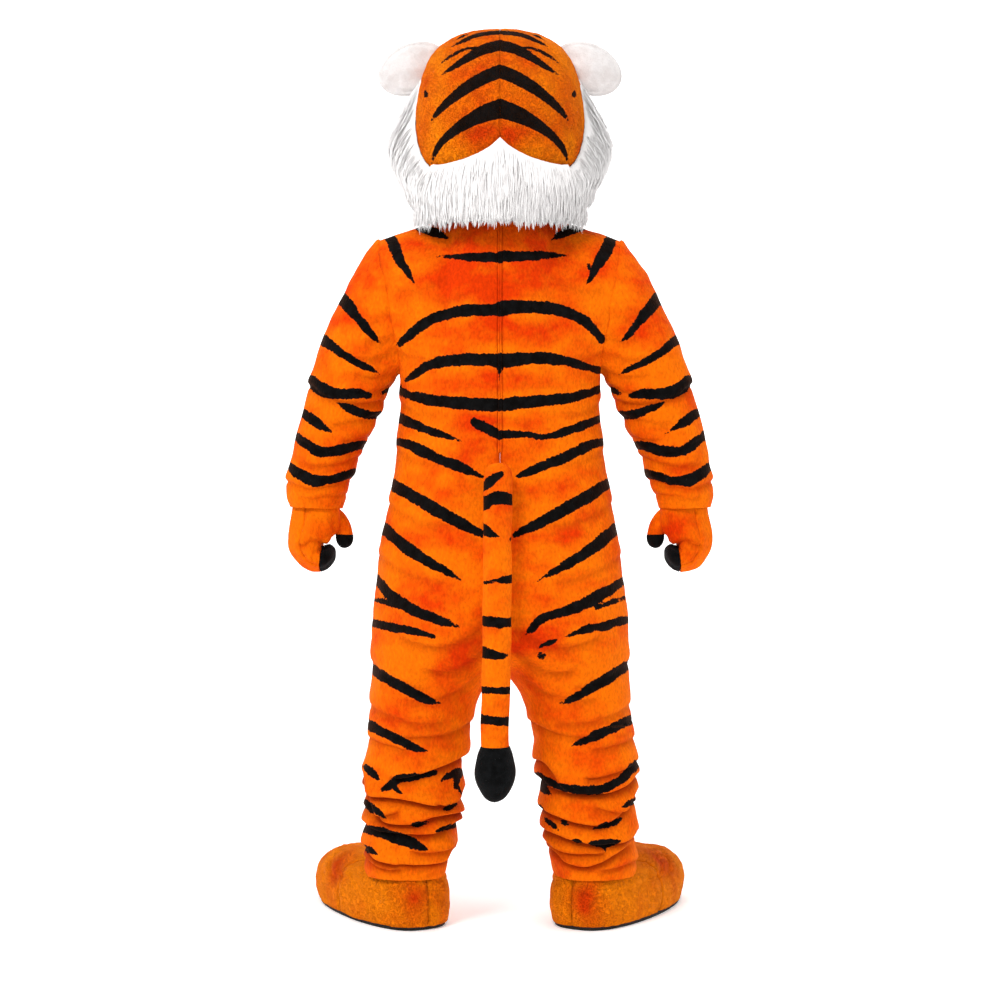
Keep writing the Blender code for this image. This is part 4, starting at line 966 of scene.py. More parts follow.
def neckline(share, face):
    """Top edge of the yoke: along the neck, then along the shoulder seam."""
    angle = 0.5 * math.pi * np.minimum(share / NECK_SHARE, 1.0)
    middle = NECK_MIDDLE[face]
    neck = np.stack([NECK_HALF_WIDTH * np.sin(angle), NECK_DEPTH[face] * np.cos(angle),
                     NECK_SIDE + (middle - NECK_SIDE) * np.cos(angle) ** 2], axis=-1)
    along = np.clip((share - NECK_SHARE) / (1.0 - NECK_SHARE), 0.0, 1.0)[:, None]
    start = np.array([NECK_HALF_WIDTH, 0.0, NECK_SIDE])
    tip = np.array([SHOULDER_TIP[0], 0.0, SHOULDER_TIP[1]])
    return np.where((share <= NECK_SHARE)[:, None], neck, start + (tip - start) * along)


def eased(grid, rounds, low, high):
    """Evens a grid along its rows of points between two heights, where two patches join."""
    held = smooth_step(grid[..., 2], low - 0.03, low) * (1.0 - smooth_step(grid[..., 2], high, high + 0.03))
    for _ in range(rounds):
        middle = grid.copy()
        middle[1:-1] = 0.25 * grid[:-2] + 0.5 * grid[1:-1] + 0.25 * grid[2:]
        grid = grid + (middle - grid) * held[..., None]
    return grid


def edge_groove(grid, reach=0.006, depth=0.0022, rows=False):
    """The pile sinks along a sewn edge."""
    steps = np.linalg.norm(np.diff(grid, axis=1), axis=2)
    from_start = np.concatenate([np.zeros((len(grid), 1)), np.cumsum(steps, axis=1)], axis=1)
    from_end = from_start[:, -1:] - from_start
    nearest = np.minimum(from_start, from_end)
    if rows:
        steps = np.linalg.norm(np.diff(grid, axis=0), axis=2)
        from_top = np.cumsum(steps[::-1], axis=0)[::-1]
        from_top = np.concatenate([from_top, np.zeros((1, grid.shape[1]))])
        nearest = np.minimum(nearest, from_top)
    return -depth * np.exp(-(nearest / reach) ** 2)


def warmth(x, height):
    total = np.zeros(x.shape)
    for at_x, at_height, across, up, strength in WARM_PATCHES:
        total += strength * np.exp(-((x - at_x) / across) ** 2 - ((height - at_height) / up) ** 2)
    return np.clip(total, 0.0, 1.0)


BODY_ALL_FOLDS = (LEG_FOLDS_LEFT + LEG_FOLDS_RIGHT + BODY_FOLDS + mirrored_folds(BODY_FOLDS))
BODY_ALL_STRIPES = (STRIPES_LEFT + STRIPES_RIGHT + STRIPES_BOTH_SIDES + mirrored(STRIPES_BOTH_SIDES))
FRONT_LEAN = 0.20            # the folds run lower round the front, by this share of the depth


def creased(grid, normals, folds, lean=0.0, droop=0.58):
    """Moves a grid out along its folds; each roll also sags over the crease below it. Also gives the painted
    shade along each crease.
    """
    x, height = laid_out(grid)
    height = height + lean * np.maximum(-grid[..., 1], 0.0)
    rise, depth = fold_rise(x, height, folds)
    moved = grid + normals * rise[..., None]
    moved[..., 2] -= droop * np.maximum(rise, 0.0)
    return moved, depth


def build_suit(plush):
    for side_name, side in SIDES:
        for face, facing in FACINGS:
            grid = body_grid(side, facing, 52 if facing > 0.0 else 40)
            grid[..., 2] -= SHOULDER_HEIGHT
            chest = CHEST_HEIGHT - SHOULDER_HEIGHT
            grid = eased(grid, 60, chest - 0.05, chest + 0.05)
            inside = grid * np.array([0.0, 0.0, 1.0]) + np.array([0.1 * side, 0.0, 0.0])
            normals = outward(grid, inside)
            grid, depth = creased(grid, normals, BODY_ALL_FOLDS, FRONT_LEAN)
            soft = 0.0016 * lumps(grid, 0.075, 11) + 0.0005 * lumps(grid, 0.022, 12)
            seam = edge_groove(grid, rows=True)
            grid = grid + normals * (soft + seam)[..., None]
            grid[..., 0] = side * np.maximum(side * grid[..., 0], SEAM)
            grid[..., 1] = facing * np.maximum(facing * grid[..., 1], SEAM)
            x, height = laid_out(grid)
            belly = 1.0
            if facing < 0.0:
                open_belly = smooth_step(np.abs(x), *BELLY_EDGES)
                legs = smooth_step(CROTCH_BLEND[0] - height, 0.0, CROTCH_BLEND[1])
                belly = np.maximum(open_belly, legs)
            # painted shade from the folds' creases and along the sunken seams is stored on each point
            values = {"stripe": inside_stripes(x, height, BODY_ALL_STRIPES, belly)
                      - (1.0 - belly) * 0.003,
                      "warm": warmth(x, height), "painted_crease_and_seam_shade": np.maximum(depth, -200.0 * seam)}
            piece = cloth_piece(f"plush_suit_{face}_{side_name}", grid, plush, CLOTH, values)
            worn(piece, "orange_plush", f"suit_{face}_{side_name}")
        build_sleeve(side_name, side, plush)


def ring_grid(table, rows, columns, side, groove=None, shift=0.0):
    """Rings through outer and inner points of the front view, on smooth curves."""
    out_x, out_h, in_x, in_h, half_depth = resampled(table, rows)
    angle = full_turn(columns)
    swing = np.cos(angle)[None]
    if groove is not None:
        waves = 0.5 - 0.5 * np.cos(3.0 * math.pi * (np.sin(angle) + 1.0))
        swing = swing * (1.0 - groove[:, None] * waves)
    x = 0.5 * (out_x + in_x)[:, None] + 0.5 * (out_x - in_x)[:, None] * swing
    height = 0.5 * (out_h + in_h)[:, None] + 0.5 * (out_h - in_h)[:, None] * swing
    y = shift + half_depth[:, None] * np.sin(angle)[None]
    return np.stack([x * side, y, height - SHOULDER_HEIGHT], axis=-1)


def ring_middles(grid):
    return np.mean(grid, axis=1, keepdims=True)


def build_sleeve(side_name, side, plush):
    grid = ring_grid(SLEEVE, 134, 80, side)
    normals = outward(grid, ring_middles(grid), wrap=True)
    folds = SLEEVE_FOLDS if side > 0.0 else mirrored_folds(SLEEVE_FOLDS)
    stripes = SLEEVE_STRIPES if side > 0.0 else mirrored(SLEEVE_STRIPES)
    grid, depth = creased(grid, normals, folds, FRONT_LEAN, droop=0.15)
    soft = 0.0018 * lumps(grid, 0.060, 21) + 0.0007 * lumps(grid, 0.022, 22)
    ends = np.linspace(0.0, 1.0, len(grid))[:, None]
    held = smooth_step(ends, 0.0, 0.06)
    grid = grid + normals * (soft * held)[..., None]
    x, height = laid_out(grid)
    warm = 0.10 + 0.4 * np.exp(-((np.abs(x) - 0.30) / 0.05) ** 2 - ((height - 1.30) / 0.08) ** 2)
    # painted shade from the sleeve's creases, at 0.7 strength
    values = {"stripe": inside_stripes(x, height, stripes), "warm": warm,
              "painted_crease_and_seam_shade": 0.7 * depth}
    piece = cloth_piece(f"plush_sleeve_{side_name}", grid, plush, CLOTH, values, wrap=True)
    worn(piece, "orange_plush", f"sleeve_{side_name}")


# ---------------------------------------------------------------- tail
def tube_grid(table, rows, columns):
    height, x, y, radius = resampled(table, rows)
    angle = full_turn(columns)
    ring_x = x[:, None] + radius[:, None] * np.cos(angle)
    ring_y = y[:, None] + radius[:, None] * np.sin(angle)
    return np.stack([ring_x, ring_y, height[:, None] - SHOULDER_HEIGHT + 0.0 * angle], axis=-1)


def build_tail(plush, black):
    grid = tube_grid(TAIL, 150, 40)
    normals = outward(grid, ring_middles(grid), wrap=True)
    share = np.linspace(0.0, 1.0, len(grid))
    held = smooth_step(share, 0.0, 0.04) * smooth_step(1.0 - share, 0.0, 0.02)
    grid = grid + normals * (0.0011 * lumps(grid, 0.045, 31) * held[:, None])[..., None]
    x, height = laid_out(grid)
    values = {"stripe": inside_stripes(x, height, TAIL_STRIPES),
              "warm": 0.5 * np.exp(-((height - 0.93) / 0.05) ** 2), "painted_crease_and_seam_shade": 0.0 * x}
    tail = stuffed_piece("stuffed_tail", grid, plush, values)
    worn(tail, "orange_plush", "tail")
    grid = tube_grid(TAIL_TIP, 44, 40)
    normals = outward(grid, ring_middles(grid), wrap=True)
    grid = grid + normals * (0.0008 * lumps(grid, 0.03, 32))[..., None]
    tip = stuffed_piece("stuffed_tail_tip", grid, black)
    worn(tip, "black_plush", "tail_tip")


# ---------------------------------------------------------------- gloves
# creases and seams of the glove, given as the folds of the suit are
GLOVE_FOLDS = (
    (0, 5, 2.5, (0.411, 0.905), (0.412, 0.876), (0.417, 0.840), (0.4205, 0.807), (0.419, 0.783),
     (0.417, 0.760)),
    (4, 8, 4.5, (0.445, 0.800), (0.419, 0.801), (0.402, 0.811), (0.383, 0.807), (0.375, 0.795),
     (0.373, 0.778), (0.372, 0.765)),
    (0, 5, 3.0, (0.378, 0.858), (0.382, 0.843), (0.383, 0.826), (0.379, 0.809), (0.374, 0.800)),
    (0, 5, 3.0, (0.357, 0.868), (0.356, 0.854), (0.355, 0.833), (0.360, 0.812), (0.364, 0.802)),
    (0, 4, 2.0, (0.396, 0.800), (0.397, 0.780), (0.399, 0.762), (0.400, 0.752)),
    (3, 7, 2.0, (0.350, 0.905), (0.372, 0.893), (0.395, 0.890), (0.420, 0.896), (0.440, 0.905)),
)


def glove_grid(table, rows, side, deepest):
    groove = FINGER_GROOVE * np.linspace(0.0, 1.0, rows) if deepest is None else np.full(rows, deepest)
    return ring_grid(table, rows, 60, side, groove)


def build_glove(side_name, side, plush, black):
    grid = glove_grid(GLOVE, 74, side, None)
    normals = outward(grid, ring_middles(grid), wrap=True)
    folds = GLOVE_FOLDS if side > 0.0 else mirrored_folds(GLOVE_FOLDS)
    grid, depth = creased(grid, normals, folds, droop=0.2)
    grid = grid + normals * (0.0012 * lumps(grid, 0.030, 41))[..., None]
    columns = grid.shape[1]
    seam = round(GLOVE_SEAM_TURN / 360.0 * columns)
    wide = columns - seam
    lift = np.array([side * SEAM, 0.0, -SEAM])
    round_back = [index % columns for index in range(wide, wide + 2 * seam + 1)]
    round_palm = list(range(seam, wide + 1))
    for part, chosen, apart, size in (("back", round_back, lift, (0.150, 0.205)),
                                      ("palm", round_palm, -lift, (0.200, 0.175))):
        panel = grid[:, chosen] + apart
        middle = ring_middles(grid)
        panel = panel + outward(panel, middle) * edge_groove(panel, 0.004, 0.0018)[..., None]
        x, height = laid_out(panel)
        # painted shade from the glove's creases and seams, at 0.6 strength
        values = {"stripe": np.full(x.shape, -0.05), "painted_crease_and_seam_shade": 0.6 * depth[:, chosen],
                  "warm": 0.45 * np.exp(-((np.abs(x) - 0.375) / 0.03) ** 2 - ((height - 0.835) / 0.03) ** 2)}
        piece = cloth_piece(f"plush_glove_{side_name}_{part}", panel, plush, CLOTH, values)
        worn(piece, "orange_plush", f"glove_{side_name}_{part}")
    tip = cloth_piece(f"plush_glove_{side_name}_fingertips", glove_grid(GLOVE_TIP, 28, side, FINGER_GROOVE),
                      black, CLOTH, wrap=True)
    worn(tip, "black_plush", f"glove_{side_name}_fingertips")
    for part, table, mat, slot, size in (("thumb", THUMB, plush, "orange_plush", (0.12, 0.06)),
                                         ("thumb_tip", THUMB_TIP, black, "black_plush", (0.11, 0.035))):
        thumb = thumb_grid(table, 24, side)
        plain = np.zeros(thumb.shape[:2])
        piece = cloth_piece(f"plush_glove_{side_name}_{part}", thumb, mat, CLOTH,
                            {"stripe": plain - 0.05, "painted_crease_and_seam_shade": plain, "warm": plain}, wrap=True)
        worn(piece, slot, f"glove_{side_name}_{part}")


def thumb_grid(table, rows, side, columns=32):
    x, height, tilt, radius = resampled(table, rows)
    angle = full_turn(columns)
    lean = np.radians(tilt)
    out = radius[:, None] * np.cos(angle)[None]
    return np.stack([(x[:, None] + out * np.cos(lean)[:, None]) * side,
                     THUMB_SHIFT + radius[:, None] * np.sin(angle)[None],
                     height[:, None] - out * np.sin(lean)[:, None] - SHOULDER_HEIGHT], axis=-1)


# ---------------------------------------------------------------- boots
# part, where it starts and ends round the foot, columns, its share of the seam gap each way
BOOT_PARTS = (
    ("vamp", -90.0, 90.0, 72, 1.0, 0.0),
    ("quarter_outer", 90.0, 180.0, 36, -1.0, 1.0),
    ("quarter_inner", 180.0, 270.0, 36, -1.0, -1.0),
)
BOOT_ROWS = 60               # spread evenly over the table, so the flat instep gets its share
# instep creases as the suit's folds, but along the foot and up
BOOT_CREASES = (
    (3, 12, 2, (0.255, 0.135), (0.235, 0.110), (0.215, 0.095), (0.190, 0.090)),
    (3, 12, 3, (0.215, 0.150), (0.190, 0.115), (0.165, 0.100), (0.130, 0.098)),
    (4, 13, 3, (0.170, 0.160), (0.145, 0.120), (0.110, 0.105), (0.070, 0.105)),
    (3, 12, 2, (0.090, 0.118), (0.040, 0.100), (0.000, 0.096), (-0.050, 0.100)),
)


def boot_grid(start, end, columns, side, shift, spread):
    height, heel, waist, toe, half_width = resampled(BOOT, BOOT_ROWS)
    angle = np.radians(np.linspace(start, end, columns + 1))[None]
    lengthways = np.cos(angle)
    reach = np.where(lengthways > 0.0, (toe - waist)[:, None], (waist + heel)[:, None])
    along = waist[:, None] + reach * lengthways + shift
    across = half_width[:, None] * power(np.sin(angle), BOOT_SQUARENESS) + spread
    turn = math.radians(BOOT_TOE_OUT)
    x = BOOT_HEEL[0] + along * math.sin(turn) + across * math.cos(turn)
    y = BOOT_HEEL[1] - along * math.cos(turn) + across * math.sin(turn)
    grid = np.stack([x * side, y, height[:, None] - SHOULDER_HEIGHT + 0.0 * x], axis=-1)
    return grid, along, across


def build_boot(side_name, side, curly, rubber):
    gap = 2.5 * SEAM
    for part, start, end, columns, shift, spread in BOOT_PARTS:
        grid, along, across = boot_grid(start, end, columns, side, shift * gap, spread * gap)
        middle = np.array([(BOOT_HEEL[0] + 0.06) * side, -0.10, 0.08 - SHOULDER_HEIGHT])
        normals = outward(grid, middle)
        height = grid[..., 2] + SHOULDER_HEIGHT
        rise, _ = fold_rise(along, height + 0.2 * np.abs(across), BOOT_CREASES)
        rise = rise * smooth_step(height, 0.02, 0.05)
        soft = 0.0014 * lumps(grid, 0.040, 51) + 0.0007 * lumps(grid, 0.012, 52)
        grid = grid + normals * (rise + soft + edge_groove(grid, 0.005, 0.0018))[..., None]
        heel_patch = np.exp(-((along + 0.075) / 0.04) ** 2 - ((across - 0.03) / 0.022) ** 2
                            - ((height - 0.06) / 0.05) ** 2)
        instep_patch = np.exp(-((along - 0.155) / 0.04) ** 2 - ((height - 0.10) / 0.045) ** 2)
        values = {"stripe": np.full(height.shape, -0.05), "warm": 1.1 * heel_patch + 0.9 * instep_patch}
        piece = cloth_piece(f"curly_boot_{side_name}_{part}", grid, curly, BOOT_WALL, values)
        worn(piece, "orange_curly_plush", f"boot_{side_name}_{part}")
    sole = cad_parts[f"boot_{side_name}_sole"]
    sole.data.materials.clear()
    sole.data.materials.append(rubber)


# ---------------------------------------------------------------- head
def head_grid(start, end, columns, side, shift_x=0.0, shift_y=0.0, rows=72):
    height, half_width, back, front = resampled(HEAD, rows)
    angle = np.radians(np.linspace(start, end, columns + 1))[None]
    depth = np.where(np.cos(angle) > 0.0, back[:, None], front[:, None])
    x = half_width[:, None] * np.sin(angle) * side
    y = depth * np.cos(angle)
    return np.stack([x + shift_x, y + shift_y, height[:, None] - SHOULDER_HEIGHT + 0.0 * x], axis=-1)


def build_head_panels(curly):
    middle = np.array([0.0, 0.0, 1.70 - SHOULDER_HEIGHT])
    for side_name, side in SIDES:
        grid = head_grid(0.0, FACE_SEAM_ANGLE, 52, side, shift_x=side * 2.0 * SEAM)
        normals = outward(grid, middle)
        pile = 0.0006 * lumps(grid, 0.012, 61) + edge_groove(grid, 0.003, 0.0012)
        grid = grid + normals * pile[..., None]
        grid[..., 0] = side * np.maximum(side * grid[..., 0], SEAM)
        x, height = laid_out(grid)
        stripes = CROWN_STRIPES if side > 0.0 else mirrored(CROWN_STRIPES)
        warm = 0.42 + 0.7 * np.exp(-((np.abs(x) - 0.035) / 0.04) ** 2 - ((height - 1.68) / 0.025) ** 2)
        warm += 0.5 * np.exp(-(np.abs(x) / 0.09) ** 2 - ((height - 1.775) / 0.05) ** 2)
        piece = cloth_piece(f"curly_crown_{side_name}", grid, curly, HEAD_WALL,
                            {"stripe": inside_stripes(x, height, stripes), "warm": warm})
        worn(piece, "orange_curly_plush", f"head_crown_{side_name}")
    grid = head_grid(FACE_SEAM_ANGLE, 360.0 - FACE_SEAM_ANGLE, 76, 1.0, shift_y=-FACE_GAP)
    grid = grid + outward(grid, middle) * (0.0006 * lumps(grid, 0.012, 62))[..., None]
    x, height = laid_out(grid)
    values = {"stripe": inside_stripes(np.abs(x), height, FACE_STRIPES), "warm": 0.0 * x}
    face = cloth_piece("curly_face", grid, curly, HEAD_WALL, values)
    worn(face, "orange_curly_plush", "head_face")


def ball_grid(form, rows=48, columns=64, first=0.04):
    """Stuffed ellipsoid as rings, its poles up and down."""
    fall = np.linspace(first, math.pi - first, rows)[:, None]
    angle = full_turn(columns)[None]
    rx, ry, rz = form["radii"]
    return np.stack([rx * np.sin(fall) * np.cos(angle), ry * np.sin(fall) * np.sin(angle),
                     rz * np.cos(fall) + 0.0 * angle], axis=-1)


def placed(grid, form, side, turn=0.0):
    """Turns a form about Y by its own angle and puts it at its place on the head."""
    lean = math.radians(turn)
    x = grid[..., 0] * math.cos(lean) + grid[..., 2] * math.sin(lean)
    z = -grid[..., 0] * math.sin(lean) + grid[..., 2] * math.cos(lean)
    centre = form["centre"]
    return np.stack([(x + centre[0]) * side, grid[..., 1] + centre[1],
                     z + centre[2] - SHOULDER_HEIGHT], axis=-1)


def build_ear(side_name, side, white):
    """Flat stuffed ear: plump middle, seam groove just inside the rim, soft dents."""
    grid = ball_grid(EAR)
    radial = np.hypot(grid[..., 0] / EAR["radii"][0], grid[..., 2] / EAR["radii"][2])
    squeeze = 1.0 - 0.30 * np.exp(-((radial - 0.86) / 0.05) ** 2)
    dents = 1.0 + 0.12 * lumps(grid, 0.034, 71)
    grid[..., 1] *= squeeze * dents
    ear = stuffed_piece(f"plush_ear_{side_name}", placed(grid, EAR, side, EAR["turn"]), white)
    worn(ear, "white_plush", f"ear_{side_name}")


def build_face_pieces(white, rose, eye):
    for name, form, mat, slot, node in (("plush_muzzle", MUZZLE, white, "white_plush", "muzzle"),
                                        ("plush_chin", CHIN, white, "white_plush", "chin"),
                                        ("velour_nose", NOSE, rose, "rose_velour", "nose")):
        grid = ball_grid(form, 36, 52)
        if form is MUZZLE:
            cleft = np.exp(-(grid[..., 0] / 0.007) ** 2) * smooth_step(-grid[..., 1], 0.02, 0.06)
            grid[..., 1] += 0.010 * cleft * smooth_step(0.02 - grid[..., 2], 0.0, 0.03)
        if form is NOSE:
            nostril = np.exp(-((np.abs(grid[..., 0]) - 0.016) / 0.005) ** 2
                             - ((grid[..., 2] + 0.008) / 0.005) ** 2)
            grid[..., 1] += 0.006 * nostril * (grid[..., 1] < 0.0)
            grid[..., 0] *= 1.0 + 0.25 * grid[..., 2:3][..., 0] / form["radii"][2]
        piece = stuffed_piece(name, placed(grid, form, 1.0), mat)
        worn(piece, slot, node)
    for side_name, side in SIDES:
        grid = ball_grid(EYE, 28, 40)
        iris = np.hypot(grid[..., 0], grid[..., 2] * 0.85) / 0.030
        iris = np.where(grid[..., 1] < 0.0, iris, 1.0)
        piece = stuffed_piece(f"moulded_eye_{side_name}", placed(grid, EYE, side), eye, {"iris": iris})
        worn(piece, "eye_gloss", f"eye_{side_name}")


# ---------------------------------------------------------------- mane
def mane_place(degrees, rise, edges, lift=0.0):
    """Points under and on the fur; rise runs from the lower edge, 0, to the upper, 1."""
    bottom, top = smooth_columns(edges, np.abs(degrees))
    height = bottom + (top - bottom) * rise
    angle = np.radians(degrees)
    held = np.maximum(height, bottom)
    reach_side, reach_back, reach_front = smooth_columns(MANE_REACH, held)
    in_side, in_back, in_front = smooth_columns(MANE_INSIDE, held)
    head_side, head_back, head_front = smooth_columns(HEAD[:-3], held)
    on_head = smooth_step(held, 1.520, 1.550)
    rear = np.cos(angle) > 0.0
    near_side = in_side + (head_side + MANE_LIFT - in_side) * on_head
    near_deep = np.where(rear, in_back, in_front)
    near_deep = near_deep + (np.where(rear, head_back, head_front) + MANE_LIFT - near_deep) * on_head
    far_deep = np.where(rear, reach_back, reach_front)
    near = np.stack([near_side * np.sin(angle), near_deep * np.cos(angle)], axis=-1)
    far = np.stack([reach_side * np.sin(angle), far_deep * np.cos(angle)], axis=-1)
    taper = 1.0 - 1.75 * np.maximum(rise - 0.42, 0.0) ** 1.4
    away = far - near
    length = np.linalg.norm(away, axis=-1)
    out = away / np.maximum(length, 1e-6)[..., None]
    full = np.maximum(length * np.clip(taper, 0.0, 1.0) * MANE_FULLNESS, 0.003) + lift
    return near, near + out * full[..., None], height


def mane_points(flat, height, side):
    return np.stack([flat[..., 0] * side, flat[..., 1], height - SHOULDER_HEIGHT], axis=-1)


def fur_facing(degrees, rise, side):
    """Direction the fur is shaded by: outward, bent straight back on its rear part and straight
    forward on its front part, so that thousands of locks read as one soft coat."""
    angle = np.radians(degrees)
    up = 0.15 + 0.55 * np.maximum(rise - 0.45, 0.0) - 0.8 * np.maximum(0.12 - rise, 0.0)
    open_way = FUR_BEND * np.sign(np.cos(angle) + FUR_PARTING)
    facing = np.stack([np.sin(angle) * side, np.cos(angle) + open_way, up + 0.0 * angle], axis=-1)
    return facing / np.linalg.norm(facing, axis=-1, keepdims=True)


def overlap_lift(degrees, last, lift):
    """The nape fur is sewn over the side fur, and thins to nothing at its two ends."""
    return lift * smooth_step(last - np.abs(degrees), 0.0, 34.0)


def build_fur(name, first, last, edges, side, fur, locks, node, seed, lift=0.0):
    """Fur as a tufted body with thousands of tapered locks combed down over it."""
    rng = np.random.default_rng(seed)
    columns = max(36, int((last - first) * 1.2))
    rows = 36
    degrees = np.linspace(first, last, columns + 1)[None] + np.zeros((rows, 1))
    rise = np.linspace(0.0, 1.0, rows)[:, None] + 0.0 * degrees
    tuft = 0.0022 * np.sin(degrees * 1.05 + 3.0 * np.sin(degrees * 0.31 + 3.0 * rise)) * (1.0 - 0.6 * rise)
    near, outer, height = mane_place(degrees, rise, edges, tuft + overlap_lift(degrees, last, lift))
    outside = mane_points(outer, height, side)
    inside = mane_points(near, height, side)
    count = rows * (columns + 1)
    faces = grid_faces(rows, columns + 1, False)
    index = np.arange(count).reshape(rows, columns + 1)
    loop = np.concatenate([index[0], index[1:, -1], index[-1, -2::-1], index[-2:0:-1, 0]])
    following = np.roll(loop, -1)
    rim = np.stack([following, loop, loop + count, following + count], axis=-1)
    facing = fur_facing(degrees, rise, side).reshape(-1, 3)
    points = [outside.reshape(-1, 3), inside.reshape(-1, 3)]
    normals = [facing, -facing]
    all_faces = [faces[:, ::-1], faces + count, rim[:, ::-1]]
    around = np.radians(degrees) * 0.2
    downward = (1.0 - rise) * 0.16
    # painted shade: the coat's body is darker towards its lower edge, and its inner face darker still
    shade = 0.10 + 0.06 * (1.0 - rise)
    numbers = {"around": [around.ravel(), around.ravel()], "down": [downward.ravel(), downward.ravel()],
               "shade": [shade.ravel(), shade.ravel() + 0.2]}
    lock_points, lock_normals, lock_faces, lock_numbers = fur_locks(first, last, edges, side, locks, rng,
                                                                    2 * count, lift)
    points.append(lock_points)
    normals.append(lock_normals)
    all_faces.append(lock_faces)
    for label, extra in lock_numbers.items():
        numbers[label].append(extra)
    wound = np.concatenate(all_faces)[:, ::int(side)]
    piece = mesh_piece(name, np.concatenate(points), wound, fur,
                       {label: np.concatenate(parts) for label, parts in numbers.items()})
    piece.data.normals_split_custom_set_from_vertices(np.concatenate(normals).tolist())
    worn(piece, "white_fur", node)


LOCK_SHAPE = np.array([0.55, 1.0, 0.92, 0.62, 0.05])      # width along a lock, root to tip
TUFT_STEP = 5.6                                           # degrees between the points of the hem


def fur_locks(first, last, edges, side, count, rng, offset, lift):
    """Tapered three-sided locks.  Their tips gather into points about 20 mm apart."""
    degrees = rng.uniform(first, last, count)
    rise = 1.0 - rng.uniform(0.0, 1.0, count) ** 0.85
    bottom, top = smooth_columns(edges, np.abs(degrees))
    wander = 1.6 * np.sin(degrees * 0.37 + 5.0 * rise) + 0.9 * np.sin(degrees * 0.83 + 11.0 * rise)
    goal = np.round((degrees + wander) / TUFT_STEP + rng.normal(0.0, 0.12, count)) * TUFT_STEP - wander
    middle = 1.0 - np.minimum(np.abs(degrees - goal) / (0.5 * TUFT_STEP), 1.0)
    uneven = 0.7 + 0.3 * np.sin(goal * 1.9)
    overhang = 0.001 + rng.uniform(0.0, 1.0, count) ** 1.6 * (0.007 + 0.021 * middle * uneven)
    length = np.minimum(rng.uniform(0.040, 0.080, count), (top - bottom) * rise + overhang)
    fall = length / np.maximum(top - bottom, 0.02)
    pull = rng.uniform(0.15, 0.80, count)
    tip_lift = rng.uniform(0.0005, 0.008, count) + 0.010 * rng.uniform(0.0, 1.0, count) ** 4
    half_width = rng.uniform(0.0009, 0.0018, count)
    steps = np.linspace(0.0, 1.0, len(LOCK_SHAPE))[None]
    at = degrees[:, None] + (goal - degrees)[:, None] * pull[:, None] * steps ** 1.3
    down = rise[:, None] - fall[:, None] * steps
    out = -0.0015 + 0.0030 * np.sin(math.pi * np.minimum(steps * 1.2, 1.0))
    out = out + tip_lift[:, None] * steps ** 1.5 + overlap_lift(at, last, lift)
    _, outer, height = mane_place(at, down, edges, out)
    spine = mane_points(outer, height, side)
    spine += rng.normal(0.0, 0.0006, spine.shape) * steps[..., None]
    angle = np.radians(at)
    across = np.stack([np.cos(angle) * side, -np.sin(angle), 0.0 * angle], axis=-1)
    away = np.stack([np.sin(angle) * side, np.cos(angle), 0.0 * angle], axis=-1)
    width = half_width[:, None] * LOCK_SHAPE[None]
    corners = np.stack([spine - across * width[..., None],
                        spine + away * (0.8 * width)[..., None],
                        spine + across * width[..., None]], axis=2)
    facing = fur_facing(at, down, side)
    normals = np.stack([facing - 0.22 * across, facing, facing + 0.22 * across], axis=2)
    normals /= np.linalg.norm(normals, axis=-1, keepdims=True)
    per_lock = len(LOCK_SHAPE) * 3
    base = offset + (np.arange(count) * per_lock)[:, None, None]
    ring = (np.arange(len(LOCK_SHAPE) - 1) * 3)[None, :, None]
    corner = np.arange(3)[None, None]
    after = (corner + 1) % 3
    quads = np.stack([base + ring + corner, base + ring + after,
                      base + ring + 3 + after, base + ring + 3 + corner], axis=-1).reshape(-1, 4)
    # painted shade darkens each lock at its root; each lock is also a little darker at its tip and gets a
    # random tint
    tint = rng.uniform(-0.08, 0.08, count)[:, None]
    shade = 0.08 + tint + 0.08 * (1.0 - steps) ** 2 + 0.06 * steps ** 3
    strand = np.radians(at) * 0.2 + rng.uniform(0.0, 5.0, count)[:, None]
    sideways = np.tile(np.array([-0.6, 0.0, 0.6]), len(LOCK_SHAPE))[None] * np.repeat(width, 3, axis=1)
    numbers = {"around": (np.repeat(strand, 3, axis=1) + sideways).ravel(),
               "down": np.repeat((1.0 - down) * 0.16, 3, axis=1).ravel(),
               "shade": np.repeat(shade, 3, axis=1).ravel()}
    return corners.reshape(-1, 3), normals.reshape(-1, 3), quads, numbers


# piece, first and last angle round, edges, side, locks, node, seed, lift over its neighbour
FUR_PIECES = (
    ("fur_nape", -76.0, 76.0, NAPE_FUR_EDGE, 1.0, 6000, "mane_nape", 81, 0.006),
    ("fur_side_left", 54.0, 152.0, SIDE_FUR_EDGE, 1.0, 4600, "mane_left", 82, 0.0),
    ("fur_side_right", 54.0, 152.0, SIDE_FUR_EDGE, -1.0, 4600, "mane_right", 83, 0.0),
    ("fur_chest", 150.0, 210.0, CHEST_FUR_EDGE, 1.0, 600, "mane_chest", 84, 0.0),
)


def build_mane(fur):
    for name, first, last, edges, side, locks, node, seed, lift in FUR_PIECES:
        build_fur(name, first, last, edges, side, fur, locks, node, seed, lift)


# ---------------------------------------------------------------- zip placket
ZIP_ENDS = (1.000, 1.500)
ZIP_HALF_WIDTH = 0.0036
ZIP_FLAP = 0.5 * ZIP_HALF_WIDTH


